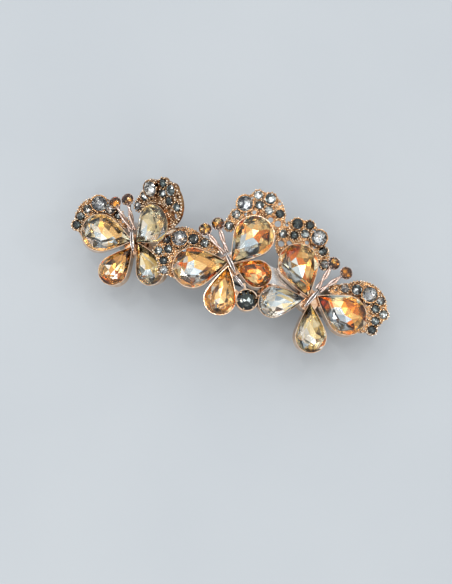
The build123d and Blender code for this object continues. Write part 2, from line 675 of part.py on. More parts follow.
# ---- assembly -----------------------------------------------------------------------------
def barrette():
    """The spring clip's pieces."""
    return {
        "base_plate": base_plate(),
        "hinge_pin": hinge_pin(),
        "clasp_lever": clasp_lever(),
        "tension_bow": tension_bow(),
        "catch_saddle": catch_saddle(),
        "catch_rivet": catch_rivet(),
        "catch_prong_front": catch_prong(-1),
        "catch_prong_back": catch_prong(1),
    }


def ornament():
    """The three butterflies' pieces and the single drop."""
    made = {}
    cups = {
        (who, name): cup_blank(spec, name, PLATE_CLEARANCE)
        for who, spec in BUTTERFLIES.items()
        for name in spec["wings"]
    }
    placed_plates = []
    for who, spec in BUTTERFLIES.items():
        own = [cups[who, name] for name in spec["wings"]]
        metal = casting(spec)
        for (other, name), blank in cups.items():
            if other < who:
                metal = metal - blank
        for room in stone_rooms(who):
            metal = metal - room
        made[f"{who}_casting"] = largest(metal)
        made[f"{who}_body"] = butterfly_body(spec)
        made[f"{who}_antennae"] = Compound(children=[antenna(spec, 0), antenna(spec, 1)])
        chatons = []
        for index in (0, 1):
            spot = antenna_place(spec, index)
            lift = ROUND_PAVILION_SHARE * ANTENNA_STONE + ANTENNA_CUP_FLOOR + POCKET_CLEARANCE
            lift = Pos(0, 0, lift)
            chatons.append(spot * lift * round_stone(ANTENNA_STONE))
        made[f"{who}_antenna_stones"] = Compound(children=chatons)
        for name, (size, *_, plate) in spec["wings"].items():
            made[f"{who}_{name}_stone"] = wing_place(spec, name) * pear_stone(*size)
            if plate is None:
                continue
            clear_of = list(cups.values()) + placed_plates
            made[f"{who}_{name}_plate"] = finished_plate(spec, name, clear_of)
            placed_plates.append(pave_plate(spec, name, PLATE_CLEARANCE))
            groups = {"accent": [], "pave": []}
            for kind, spot in plate_stone_places(spec, name):
                group = "accent" if kind == "accent" else "pave"
                groups[group].append(spot * round_stone(ROUND_SIZES[kind][0]))
            made[f"{who}_{name}_accent_stone"] = groups["accent"][0]
            made[f"{who}_{name}_pave_stones"] = Compound(children=groups["pave"])
    made["drop_cup"] = drop_cup(list(cups.values()))
    made["drop_stone"] = drop_place() * round_stone(DROP_DIAMETER)
    return made


def build():
    """Every piece by name, in the clip's frame, and the shift from the barrette's middle."""
    pieces = {**barrette(), **ornament()}
    box = Compound(children=[Compound(p.solids()) for p in pieces.values()]).bounding_box()
    shift = Vector(-(box.min.X + box.max.X) / 2, -(box.min.Y + box.max.Y) / 2, -box.min.Z)
    return {name: Pos(*shift) * piece for name, piece in pieces.items()}, shift


def main():
    pieces, shift = build()
    os.makedirs("parts", exist_ok=True)
    for name, piece in pieces.items():
        export_step(piece, f"parts/{name}.step")
    print(len(pieces), "pieces; origin is moved by", tuple(round(v, 3) for v in shift))


if __name__ == "__main__":
    main()
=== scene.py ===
"""Looks of a rhinestone hair clip: three jewelled butterflies on an arched spring barrette.

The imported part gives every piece's place.  This file cuts the stones, beads the settings,
twists the antennae and gives each piece the finish of the real material.  Working sizes are
in millimetres in a setting's own frame, and turn to metres where a mesh is made.
"""

import math
import random

import bmesh
import bpy
from mathutils import Matrix, Vector


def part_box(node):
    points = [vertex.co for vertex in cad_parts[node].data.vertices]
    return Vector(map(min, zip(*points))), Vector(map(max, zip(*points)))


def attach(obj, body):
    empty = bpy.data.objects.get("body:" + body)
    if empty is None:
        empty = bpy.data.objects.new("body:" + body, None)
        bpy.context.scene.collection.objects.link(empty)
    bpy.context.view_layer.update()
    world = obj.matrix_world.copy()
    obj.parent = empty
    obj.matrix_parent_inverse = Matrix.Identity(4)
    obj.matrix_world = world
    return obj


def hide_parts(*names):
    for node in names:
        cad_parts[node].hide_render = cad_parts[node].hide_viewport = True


bl_info = {
    "name": "Rhinestone Hair Clip",
    "version": (1, 0, 0),
    "blender": (4, 5, 0),
    "location": "3D View > Sidebar > Hair Clip",
    "description": "Cuts the stones and finishes the metal of a butterfly barrette",
    "category": "Object",
}

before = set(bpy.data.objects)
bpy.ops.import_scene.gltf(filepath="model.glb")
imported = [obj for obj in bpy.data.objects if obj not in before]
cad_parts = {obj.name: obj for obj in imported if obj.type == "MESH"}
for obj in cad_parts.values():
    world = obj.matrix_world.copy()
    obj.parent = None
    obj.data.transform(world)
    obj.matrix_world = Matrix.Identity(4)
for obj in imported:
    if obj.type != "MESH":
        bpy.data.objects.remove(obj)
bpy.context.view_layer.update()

MM = 0.001
BODY = "ornament"

# ---- the part's own layout, in millimetres and degrees -------------------------------------
ARCH_RADIUS, BASE_TOP, GIRDLE_HEIGHT = 88.0, 13.5, 4.0
CLIP_Y = -0.1
PEAR_CROWN, PEAR_GIRDLE, PEAR_PAVILION = 1.7, 0.2, 2.3
SIDE_BULGE = 2.6
CUP_WALL, POINT_GROWTH = 0.2, 1.5
SPINE_HEIGHT, BODY_LENGTH, BODY_WIDTH, BODY_HEIGHT = 0.9, 6.4, 1.5, 1.0
ANTENNA_STONE, ANTENNA_GAP, ANTENNA_CUP = 3.1, 0.42, 1.5
PLATE_TOP, PLATE_THICKNESS, PLATE_LAND = -0.6, 1.2, 0.35
# diameter, girdle height above the plate
ROUND_SIZES = {"accent": (4.0, 0.9), "medium": (2.8, 0.4), "small": (2.2, 0.15)}
CRESCENT = {
    "disc": (3.9, 4.2, 6.8),
    "arm": ((0.8, 7.3), (-4.4, 4.2), 1.35),
    "stones": [
        ("accent", 4.1, 8.0),
        ("medium", 0.6, 7.3),
        ("small", -2.1, 5.9),
        ("small", 7.4, 8.4),
        ("small", 7.4, 5.8),
        ("small", 9.9, 5.7),
        ("small", 9.0, 3.0),
        ("small", 9.4, 0.6),
    ],
    "holes": [(5.0, 5.5, 0.3), (10.4, 3.0, 0.25), (2.3, 9.6, 0.35), (-3.9, 4.5, 0.35)],
}
SMALL_CRESCENT = {
    "disc": (3.0, 3.3, 6.0),
    "arm": ((1.0, 6.7), (-3.8, 4.2), 1.35),
    "stones": [
        ("accent", 3.9, 7.3),
        ("medium", 0.8, 6.8),
        ("small", -1.7, 5.8),
        ("small", 6.5, 5.2),
        ("small", 7.7, 2.9),
        ("small", 8.1, 0.5),
    ],
    "holes": [(1.9, 8.7, 0.3), (-3.4, 4.5, 0.35)],
}
FAN = {
    "disc": (7.0, 1.9, 6.3),
    "arm": ((3.4, 7.2), (0.0, 6.7), 1.45),
    "stones": [
        ("accent", 6.9, 7.1),
        ("small", 10.8, 5.9),
        ("medium", 12.0, 2.8),
        ("small", 9.0, 4.0),
        ("small", 9.4, 1.2),
        ("small", 10.5, -1.5),
        ("small", 3.3, 7.2),
        ("small", -0.1, 6.7),
    ],
    "holes": [
        (6.7, 3.9, 0.55),
        (4.9, 5.3, 0.35),
        (7.8, -0.6, 0.7),
        (8.2, -2.7, 0.85),
        (12.5, 0.2, 0.45),
        (9.2, 6.6, 0.4),
    ],
}
UPPER, LOWER = (14.0, 10.2), (12.5, 8.0)
SMALL_UPPER, SMALL_LOWER, TUCKED_LOWER = (13.0, 9.6), (11.6, 7.6), (10.0, 7.0)
# A wing: stone size, its point in the body's frame, direction, lift, roll, plate, and how
# much of its foil gets cool tints instead of amber, partly a painted reflection of a cool sky.
BUTTERFLIES = {
    "left": {
        "foot": (-24.8, -2.95),
        "head": 112.0,
        "body_turn": 4.0,
        "wings": {
            "upper_left": (SMALL_UPPER, (0.5, 0.8), 76.0, 27.0, -5.0, SMALL_CRESCENT, 0.55),
            "upper_right": (SMALL_UPPER, (0.1, -0.7), -67.0, 34.0, 10.0, FAN, 0.6),
            "lower_left": (SMALL_LOWER, (-1.3, 0.6), 137.0, -3.0, -8.0, None, 0.1),
            "lower_right": (SMALL_LOWER, (-0.5, -1.3), -160.0, -12.0, 10.0, None, 0.5),
        },
        "antennae": ((9.25, 3.1, 4.4), (9.55, -0.45, 4.7)),
    },
    "middle": {
        "foot": (0.1, -0.65),
        "head": 130.0,
        "body_turn": 5.0,
        "wings": {
            "upper_left": (UPPER, (0.7, 0.7), 79.0, 2.0, -3.0, CRESCENT, 0.3),
            "upper_right": (UPPER, (0.2, -0.5), -60.0, 9.0, 2.0, FAN, 0.5),
            "lower_left": (LOWER, (-0.5, 0.9), 146.0, -5.0, -1.0, None, 0.12),
            "lower_right": (TUCKED_LOWER, (-0.4, -0.9), -132.0, -4.0, -2.0, None, 0.05),
        },
        "antennae": ((9.9, 3.3, 2.3), (10.2, -0.3, 2.3)),
    },
    "right": {
        "foot": (21.4, -1.7),
        "head": 62.0,
        "body_turn": 8.0,
        "wings": {
            "upper_left": (UPPER, (0.0, 0.9), 64.0, -4.0, -8.0, FAN, 0.55),
            "upper_right": (UPPER, (2.0, -0.8), -75.0, 9.0, -1.0, CRESCENT, 0.4),
            "lower_left": (LOWER, (-1.0, 1.0), 146.0, 1.0, -18.0, None, 0.8),
            "lower_right": (LOWER, (-0.9, -0.9), -130.0, -1.0, 2.0, None, 0.25),
        },
        "antennae": ((9.8, 3.2, 2.3), (10.7, -0.8, 2.3)),
    },
}
DROP_FOOT, DROP_DIAMETER, DROP_RISE = (6.9, -8.1), 5.2, 0.2
# small bright leaf from the middle butterfly's tail to the drop
TAIL_LEAF_FOOT, TAIL_LEAF_HEAD, TAIL_LEAF_RISE = (3.7, -4.3), -33.0, 0.25
TAIL_LEAF = (4.8, 0.9, 0.6)  # length, width, height
ANTENNA_LAP, ANTENNA_SINK, ANTENNA_END_RISE = 0.2, 0.3, 0.5
ANTENNA_STEPS, ANTENNA_SHARE = 40, 0.93  # steps along a strand, which ends under its cup
CLAW_LIFT = 0.95  # where the claws' foot stands on an antenna cup
PAVILION_SHARE = 0.38  # depth of a round stone below its girdle, from its diameter
CUP_FLOOR_GAP = 0.34  # from an antenna cup's underside to its stone's culet
WING_ROOM = (-3.2, 1.5)  # heights between which a wing's cup and stone fill their outline
RIM_STEP, RIM_PROUD = 0.2, 0.05  # along a rim, and how far its beads stand out
BEZEL_BEADS, STONE_GRAINS = (10, 0.36), (6, 0.14)  # how many, and how far outside the girdle
GRAIN_CLEAR = 0.22  # from a grain's middle to a stone, a piercing or the plate's edge
GROUND_REACH = 14.5  # how far a plate reaches from the middle of its wing

# small bright lamps that the facets catch
GLINT_SPOTS = (
    (0.1, 0.25, 0.55), (-0.2, 0.1, 0.6), (0.35, 0.15, 0.4), (0.0, -0.3, 0.55),
    (-0.3, -0.3, 0.45), (0.3, -0.15, 0.6), (-0.05, 0.02, 0.7),
)

GLINT_SIZE, GLINT_WATTS, SIDE_GLINT_WATTS = (0.05, 0.05), 0.16, 0.35
CAMERA_SPOT, CAMERA_TURN, CAMERA_HEIGHT = (0.022681, -0.068647, 0.309314), 20, 78
CAMERA_LENS = 71.94

# where the barrette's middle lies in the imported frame
_low, _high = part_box("base_plate")
SHIFT = Vector(
    ((_low.x + _high.x) / 2 / MM, (_low.y + _high.y) / 2 / MM - CLIP_Y, 0.0)
)

# stones that are pale straw where they are not grey
PALE_STONES = ("left_upper_right", "left_lower_right", "right_lower_left", "right_lower_right")

# ---- foil tints: one for each facet of a stone's back; near-white ones are painted glints ---
GOLD_MAINS = ["F2C07A", "EAAE60", "F8D8A0", "D4782C", "EEB468", "8A6A38", "F6CC8C"]
GOLD_CHIPS = ["FBD898", "F2BE6C", "E48A3C", "FFF4D8", "D8A45C", "FBE4B0", "D87428", "FFFAF0"]
# cool tints: partly the coating's own tint, partly a painted reflection of a cool sky
COOL_REFLECTION_MAINS = ["C8D8E8", "E8F2FA", "B8CCE0", "FFFDF8", "F6F2EC", "D4E4F2"]
COOL_REFLECTION_CHIPS = ["DEEAF6", "FFFFFF", "F4F4F4", "F6ECE8", "FBE8BC", "CCDDEE"]
# painted sparkle for the drop's middle: a bright tint among dark ones
PAINTED_SPARK_TINTS = ["F4F8F4", "1E2822", "2A342E"]
PALE_MAINS = ["F4E2B4", "EBD29A", "FFF4D6", "D9BC7C", "F8EAC4"]
PALE_CHIPS = ["FFF6DC", "E8C888", "F6E4B8", "D08030", "FFFFF4"]
BLACK_TINTS = ["2A3230", "4A5452", "39423F", "6E7876", "A8B0AC", "FAFCFA", "2E3634"]
GREY_TINTS = ["A8B0AC", "DDE1DF", "6E6A62", "FFFFFF", "CDBBAA", "5A5A5C", "EEF2F0"]
SMOKY_TINTS = ["7A7A7C", "A8A8A8", "D0CEC8", "F4F2EE", "54585C", "FFFFFE", "BDB2A4"]
TOPAZ_TINTS = ["5A3410", "8A520E", "E8A23A", "FFD070", "3C2008", "A8661A", "FFE9B8"]
GREEN_TINTS = ["1C2822", "2E3C34", "3E4E44", "1A241F", "28342C", "46564A", "223028"]


# ---- small workshop helpers ------------------------------------------------------------------
def paint(code):
    """Linear colour of an sRGB hex code."""
    parts = [int(code[i : i + 2], 16) / 255 for i in (0, 2, 4)]
    linear = [p / 12.92 if p <= 0.04045 else ((p + 0.055) / 1.055) ** 2.4 for p in parts]
    return (*linear, 1.0)


def polar(radius, degrees):
    """Point at this radius and angle."""
    return radius * math.cos(math.radians(degrees)), radius * math.sin(math.radians(degrees))


def turn(degrees, axis):
    """Rotation about a frame's own axis."""
    return Matrix.Rotation(math.radians(degrees), 4, axis)


def arch_frame(x, y, rise, head=0.0):
    """Frame standing on the arch: Z out of the stones, X towards the head."""
    lean = math.asin(x / ARCH_RADIUS)
    out = Vector((math.sin(lean), 0, math.cos(lean)))
    along = Vector((math.cos(lean), 0, -math.sin(lean)))
    ahead = along * math.cos(math.radians(head))
    ahead = ahead + Vector((0, 1, 0)) * math.sin(math.radians(head))
    foot = Vector((x, y, BASE_TOP - ARCH_RADIUS + math.sqrt(ARCH_RADIUS**2 - x * x)))
    place = Matrix((ahead, out.cross(ahead), out)).transposed().to_4x4()
    place.translation = foot + out * rise + SHIFT
    return place


def body_frame(spec):
    """Frame of a butterfly at its stones' girdle height."""
    return arch_frame(*spec["foot"], GIRDLE_HEIGHT, spec["head"])


def wing_frame(spec, wing):
    """Frame of one wing's stone: X outward along the stone, Z out of its table."""
    (length, _), (s, t), heading, lift, roll = wing[:5]
    point = Matrix.Translation((s, t, 0)) @ turn(heading, "Z") @ turn(-lift, "Y")
    return body_frame(spec) @ point @ turn(roll, "X") @ Matrix.Translation((length / 2, 0, 0))


def wings():
    """Every wing with its name, butterfly and frame."""
    for who, spec in BUTTERFLIES.items():
        for name, wing in spec["wings"].items():
            yield f"{who}_{name}", spec, wing, wing_frame(spec, wing)


def plate_spots(wing):
    """Kind and place of each round stone on a wing's plate, in the wing's frame."""
    side = -1 if wing[2] > 0 else 1
    for kind, u, v in wing[5]["stones"]:
        yield kind, (u, side * v, PLATE_TOP + ROUND_SIZES[kind][1])


def mesh_object(name, points, faces, place=None):
    """Plain mesh object from points in millimetres in a frame."""
    place = place or Matrix.Identity(4)
    mesh = bpy.data.meshes.new(name)
    mesh.from_pydata([tuple((place @ Vector(p)) * MM) for p in points], [], faces)
    mesh.update()
    made = bpy.data.objects.new(name, mesh)
    bpy.context.scene.collection.objects.link(made)
    return made


def seat(piece, slot, *nodes):
    """Sets a finished piece on the ornament in place of the part's plain nodes."""
    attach(piece, BODY)
    if nodes:
        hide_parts(*nodes)
    return piece


def dress(node_name, material):
    """Gives one of the part's own pieces its finish."""
    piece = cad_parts[node_name]
    if not piece.material_slots:
        piece.data.materials.append(material)
    for held in piece.material_slots:
        held.material = material


# ---- outlines ----------------------------------------------------------------------------------
def pear_outline(length, width, share, grow=0.0):
    """Point on a pear's outline; share runs from 0 at the round end, anticlockwise, to 1."""
    centre, r = (length - width) / 2, width / 2 + grow
    tip = -length / 2 - POINT_GROWTH * grow
    reach = centre - tip
    flank = SIDE_BULGE * (reach + r)
    k = flank - r
    start = math.acos((reach * reach + k * k - flank * flank) / (2 * reach * k))
    fx, fy = centre - k * math.cos(start), -k * math.sin(start)
    last = math.atan2(-fy, tip - fx)
    along = 2 * min(share, 1 - share) * (r * start + flank * (last - start))
    side = 1 if share <= 0.5 else -1
    if along <= r * start:
        return centre + r * math.cos(along / r), side * r * math.sin(along / r)
    angle = start + (along - r * start) / flank
    return fx + flank * math.cos(angle), side * (fy + flank * math.sin(angle))


def in_pear(x, y, size, grow):
    """Whether a point lies inside a pear's outline."""
    if abs(x) > size[0] / 2 + 2 * grow or abs(y) > size[1] / 2 + grow:
        return False
    loop = [pear_outline(*size, i / 40, grow) for i in range(40)]
    inside = False
    for (x0, y0), (x1, y1) in zip(loop, loop[1:] + loop[:1]):
        if (y0 > y) != (y1 > y) and x < (x1 - x0) * (y - y0) / (y1 - y0) + x0:
            inside = not inside
    return inside


def plate_shapes(wing):
    """Capsules whose union is a wing's plate: two ends and a radius each."""
    plate, side = wing[5], -1 if wing[2] > 0 else 1
    u, v, r = plate["disc"]
    shapes = [((u, side * v), (u, side * v), r)]
    (u0, v0), (u1, v1), reach = plate["arm"]
    shapes.append(((u0, side * v0), (u1, side * v1), reach))
    for kind, u, v in plate["stones"]:
        land = ROUND_SIZES[kind][0] / 2 + PLATE_LAND
        shapes.append(((u, side * v), (u, side * v), land))
    return shapes


def depth_in(shape, x, y):
    """How far a point lies inside a capsule; negative outside."""
    (ax, ay), (bx, by), r = shape
    span = (bx - ax) ** 2 + (by - ay) ** 2
    t = 0 if span == 0 else max(0, min(1, ((x - ax) * (bx - ax) + (y - ay) * (by - ay)) / span))
    return r - math.hypot(x - ax - t * (bx - ax), y - ay - t * (by - ay))


def capsule_rim(shape, step):
    """Closed loop of points round a capsule."""
    (ax, ay), (bx, by), r = shape
    heading = math.degrees(math.atan2(by - ay, bx - ax))
    span = math.hypot(bx - ax, by - ay)
    loop = []
    for end, first in (((bx, by), -90), ((ax, ay), 90)):
        count = max(6, round(math.pi * r / step))
        for i in range(count + 1):
            dx, dy = polar(r, heading + first + 180 * i / count)
            loop.append((end[0] + dx, end[1] + dy))
        if span:
            other = (ax, ay) if end == (bx, by) else (bx, by)
            dx, dy = polar(r, heading + first + 180)
            for i in range(1, max(2, round(span / step))):
                t = i / max(2, round(span / step))
                x = end[0] + (other[0] - end[0]) * t + dx
                loop.append((x, end[1] + (other[1] - end[1]) * t + dy))
    return loop


# ---- materials ---------------------------------------------------------------------------------
def node(tree, kind, inputs=None, **settings):
    """Adds a node with its settings; inputs take a value or another node's output."""
    made = tree.nodes.new(kind)
    for key, value in settings.items():
        setattr(made, key, value)
    for key, value in (inputs or {}).items():
        if isinstance(value, bpy.types.NodeSocket):
            tree.links.new(value, made.inputs[key])
        else:
            made.inputs[key].default_value = value
    return made


def new_finish(name):
    """Empty material with its output and the object's own coordinates."""
    material = bpy.data.materials.new(name)
    material.use_nodes = True
    tree = material.node_tree
    tree.nodes.clear()
    output = node(tree, "ShaderNodeOutputMaterial")
    spot = node(tree, "ShaderNodeTexCoord").outputs["Object"]
    return material, tree, output, spot


def cut_glass(name, tint, haze):
    """Machine-cut, fire-polished lead-free crystal: clear, with faint handling haze that
    softens the flashes here and there."""
    material, tree, output, spot = new_finish(name)
    smudge = node(
        tree, "ShaderNodeTexNoise", {"Vector": spot, "Scale": 900.0, "Detail": 3.0}
    ).outputs["Fac"]
    smear = node(tree, "ShaderNodeMapRange", {"Value": smudge, "To Min": 0.0, "To Max": haze})
    shader = node(
        tree,
        "ShaderNodeBsdfPrincipled",
        {
            "Base Color": paint(tint),
            "Transmission Weight": 1.0,
            "IOR": 1.55,
            "Roughness": smear.outputs["Result"],
        },
    )
    tree.links.new(shader.outputs["BSDF"], output.inputs["Surface"])
    return material


def back_foil(name):
    """Vacuum-coated mirror foil on a stone's back: each facet has its own tint, painted glints and
    painted cool reflections among them.
    """
    material, tree, output, spot = new_finish(name)
    tint = node(tree, "ShaderNodeAttribute", attribute_name="facet_tint").outputs["Color"]
    # the coating thins and thickens over about a millimetre
    cloud = node(
        tree, "ShaderNodeTexNoise", {"Vector": spot, "Scale": 700.0, "Detail": 2.0}
    ).outputs["Fac"]
    shade = node(tree, "ShaderNodeMapRange", {"Value": cloud, "To Min": 0.86, "To Max": 1.14})
    blur = node(tree, "ShaderNodeMapRange", {"Value": cloud, "To Min": 0.04, "To Max": 0.2})
    mixed = node(
        tree,
        "ShaderNodeVectorMath",
        {0: tint, "Scale": shade.outputs["Result"]},
        operation="SCALE",
    )
    shader = node(
        tree,
        "ShaderNodeBsdfPrincipled",
        {
            "Base Color": mixed.outputs["Vector"],
            "Metallic": 1.0,
            "Roughness": blur.outputs["Result"],
        },
    )
    tree.links.new(shader.outputs["BSDF"], output.inputs["Surface"])
    return material


def plated_metal(name, bright, worn, painted_shade_colour, polish, grain_mm, dent):
    """Plated zinc casting in two tones in random patches, with painted shade darkening its corners
    by ambient occlusion, and the faint orange-peel of the mould under the plating."""
    material, tree, output, spot = new_finish(name)
    grain = node(
        tree,
        "ShaderNodeTexNoise",
        {"Vector": spot, "Scale": 1.0 / (grain_mm * MM), "Detail": 4.0},
    ).outputs["Fac"]
    patches = node(
        tree, "ShaderNodeTexNoise", {"Vector": spot, "Scale": 900.0, "Detail": 2.0}
    ).outputs["Fac"]
    patches = node(
        tree, "ShaderNodeMapRange", {"Value": patches, "From Min": 0.38, "From Max": 0.62}
    ).outputs["Result"]
    hue = node(
        tree,
        "ShaderNodeMix",
        {"Factor": patches, 6: paint(bright), 7: paint(worn)},
        data_type="RGBA",
    ).outputs[2]
    # painted shade: ambient occlusion darkens corners and hollows towards the shade colour
    corner = node(
        tree, "ShaderNodeAmbientOcclusion", {"Distance": 0.0009}, samples=6
    ).outputs["AO"]
    unshaded = node(
        tree, "ShaderNodeMapRange", {"Value": corner, "From Min": 0.25, "From Max": 0.8}
    ).outputs["Result"]
    colour = node(
        tree,
        "ShaderNodeMix",
        {"Factor": unshaded, 6: paint(painted_shade_colour), 7: hue},
        data_type="RGBA",
    ).outputs[2]
    bump = node(
        tree,
        "ShaderNodeBump",
        {"Height": grain, "Strength": dent, "Distance": 0.00005},
    ).outputs["Normal"]
    sheen = node(
        tree,
        "ShaderNodeMapRange",
        {"Value": grain, "To Min": polish * 0.7, "To Max": polish * 1.4},
    )
    shader = node(
        tree,
        "ShaderNodeBsdfPrincipled",
        {
            "Base Color": colour,
            "Metallic": 1.0,
            "Roughness": sheen.outputs["Result"],
            "Normal": bump,
        },
    )
    tree.links.new(shader.outputs["BSDF"], output.inputs["Surface"])
    return material


def brushed_steel(name, tone, polish):
    """Rolled spring steel, nickel-plated: fine lines run along the strip, 0.05 mm apart on
    the real strip and drawn 0.2 mm apart so that they show."""
    material, tree, output, spot = new_finish(name)
    stretched = node(
        tree,
        "ShaderNodeMapping",
        {"Vector": spot, "Scale": (150.0, 5000.0, 5000.0)},
    ).outputs["Vector"]
    lines = node(
        tree, "ShaderNodeTexNoise", {"Vector": stretched, "Scale": 1.0, "Detail": 3.0}
    ).outputs["Fac"]
    hue = node(
        tree,
        "ShaderNodeMix",
        {"Factor": lines, 6: paint(tone), 7: paint("8F8E8C")},
        data_type="RGBA",
    ).outputs[2]
    bump = node(
        tree, "ShaderNodeBump", {"Height": lines, "Strength": 0.15, "Distance": 0.00003}
    ).outputs["Normal"]
    sheen = node(
        tree,
        "ShaderNodeMapRange",
        {"Value": lines, "To Min": polish * 0.7, "To Max": polish * 1.5},
    )
    shader = node(
        tree,
        "ShaderNodeBsdfPrincipled",
        {
            "Base Color": hue,
            "Metallic": 1.0,
            "Roughness": sheen.outputs["Result"],
            "Anisotropic": 0.5,
            "Normal": bump,
        },
    )
    tree.links.new(shader.outputs["BSDF"], output.inputs["Surface"])
    return material


def plaster_slab(name, light, dark):
    """Honed pale plaster: soft cloudy tone and a very faint trowelled surface."""
    material, tree, output, spot = new_finish(name)
    cloud = node(
        tree, "ShaderNodeTexNoise", {"Vector": spot, "Scale": 14.0, "Detail": 6.0}
    ).outputs["Fac"]
    grit = node(
        tree, "ShaderNodeTexNoise", {"Vector": spot, "Scale": 420.0, "Detail": 4.0}
    ).outputs["Fac"]
    hue = node(
        tree,
        "ShaderNodeMix",
        {"Factor": cloud, 6: paint(light), 7: paint(dark)},
        data_type="RGBA",
    ).outputs[2]
    bump = node(
        tree, "ShaderNodeBump", {"Height": grit, "Strength": 0.12, "Distance": 0.0003}
    ).outputs["Normal"]
    shader = node(
        tree,
        "ShaderNodeBsdfPrincipled",
        {"Base Color": hue, "Roughness": 0.6, "Normal": bump},
    )
    tree.links.new(shader.outputs["BSDF"], output.inputs["Surface"])
    return material


_finishes = {}


def finish(name):
    """The finish of this name, made once."""
    makers = {
        "champagne crystal": lambda n: cut_glass(n, "FFF6E6", 0.03),
        "clear crystal": lambda n: cut_glass(n, "F6F8F8", 0.03),
        "topaz crystal": lambda n: cut_glass(n, "FFF3DE", 0.03),
        "stone back foil": back_foil,
        # the plate's tones are set dark partly as painted shade of its ground between beads and
        # stones
        "cast rose gold plate": lambda n: plated_metal(
            n, "CC9C6C", "764C2E", "180E07", 0.2, 0.3, 1.0
        ),
        "polished rose gold walls": lambda n: plated_metal(
            n, "F4D8BC", "DDB08A", "7A4E30", 0.12, 0.5, 0.15
        ),
        "burnished rose gold beads": lambda n: plated_metal(
            n, "FFEED8", "EECBA0", "5A3620", 0.11, 0.2, 0.3
        ),
        "pale rose drawn wire": lambda n: plated_metal(
            n, "F2DED2", "D8BAAA", "5E4034", 0.14, 0.15, 0.25
        ),
        "bright polished bar": lambda n: plated_metal(
            n, "F8F2EE", "E2D6D0", "2A201C", 0.1, 0.4, 0.15
        ),
        "nickel plated spring steel": lambda n: brushed_steel(n, "C9C8C6", 0.26),
        "pale plaster": lambda n: plaster_slab(n, "BBBFC1", "AFB4B8"),
    }
    if name not in _finishes:
        _finishes[name] = makers[name](name)
    return _finishes[name]


# ---- stones ------------------------------------------------------------------------------------
def cut_stone(outline, folds, steps, heights, middle, table_share):
    """Brilliant cut over any outline: points, faces and each face's kind, which is glass,
    main or chip.  heights are table, girdle top and culet depth; folds is how many main
    facets it has and steps how many girdle points each of them spans."""
    crown, girdle, pavilion = heights

    def ring(count, offset, share, z):
        spots = [outline(((i + offset) / count) % 1.0) for i in range(count)]
        return [(middle + (x - middle) * share, y * share, z) for x, y in spots]

    n, m = folds, folds * steps
    rings = [
        ring(n, 0.0, table_share, crown),
        ring(n, 0.5, 0.45 + table_share * 0.55, girdle + (crown - girdle) * 0.6),
        ring(m, 0.0, 1.0, girdle),
        ring(m, 0.0, 1.0, 0.0),
        ring(n, 0.5, 0.76, -0.6 * pavilion),
        ring(n, 0.0, 0.4, -0.86 * pavilion),
    ]
    points, starts = [], []
    for spots in rings:
        starts.append(len(points))
        points += spots
    culet = len(points)
    points.append((middle, 0.0, -pavilion))
    table, star, upper, lower, keel, heart = starts
    faces, kinds = [[table + i for i in range(n)]], ["glass"]
    for i in range(n):
        j, h, g = (i + 1) % n, (i - 1) % n, i * steps
        made = [
            ("glass", [table + i, star + i, table + j]),
            ("glass", [table + i, star + h, upper + g, star + i]),
            ("chip", [lower + g, keel + h, keel + i]),
            ("main", [keel + h, heart + i, keel + i]),
            ("main", [keel + i, heart + i, heart + j]),
            ("heart", [heart + i, culet, heart + j]),
        ]
        for k in range(steps):
            a, b = g + k, (g + k + 1) % m
            made.append(("glass", [star + i, upper + a, upper + b]))
            made.append(("glass", [upper + a, lower + a, lower + b, upper + b]))
            made.append(("chip", [lower + a, keel + i, lower + b]))
        kinds += [kind for kind, _ in made]
        faces += [face for _, face in made]
    return points, faces, kinds


def foil_tints(points, faces, kinds, place, warm, cool, cool_reflection_share, rng):
    """One tint for each facet: the cool tints, partly a painted reflection of a cool sky, gather on
    the side that faces down the clip.
    """
    # painted reflection: facets on this side of the stone get the cool tints more often
    towards = Vector((-0.42, -0.91, 0.0))
    centre = sum((place @ Vector(p) for p in points), Vector()) / len(points)
    tints, last = [], {}
    for face, kind in zip(faces, kinds):
        if kind == "glass":
            tints.append((1.0, 1.0, 1.0, 1.0))
            continue
        spot = sum((place @ Vector(points[i]) for i in face), Vector()) / len(face) - centre
        spot.z = 0.0
        facing = spot.normalized().dot(towards) if spot.length else 0.0
        chance = cool_reflection_share + 2.4 * min(cool_reflection_share, 1 - cool_reflection_share) * facing
        side = cool if rng.random() < chance else warm
        tint = paint(rng.choice(side[{"main": 0, "chip": 1, "heart": -1}[kind]]))
        # neighbouring facets of one side often share one tint, as one larger patch of colour
        if kind in last and last[kind][0] is side and rng.random() < 0.55:
            tint = last[kind][1]
        last[kind] = (side, tint)
        tints.append(tint)
    return tints


def add_stone(name, parts, slot, crystal, *nodes):
    """Joins cut stones into one piece with crystal fronts and foil backs."""
    points, faces, kinds, tints = [], [], [], []
    for stone_points, stone_faces, stone_kinds, stone_tints in parts:
        start = len(points)
        points += stone_points
        faces += [[start + i for i in face] for face in stone_faces]
        kinds += stone_kinds
        tints += stone_tints
    made = mesh_object(name, points, faces)
    made.data.materials.append(finish(crystal))
    made.data.materials.append(finish("stone back foil"))
    layer = made.data.color_attributes.new("facet_tint", "FLOAT_COLOR", "CORNER")
    for face, kind, tint in zip(made.data.polygons, kinds, tints):
        face.material_index = 0 if kind == "glass" else 1
        for loop in face.loop_indices:
            layer.data[loop].color = tint
    return seat(made, slot, *nodes)


def placed(stone, place):
    """A cut stone's points moved to its seat."""
    points, faces, kinds, tints = stone
    return [tuple(place @ Vector(p)) for p in points], faces, kinds, tints


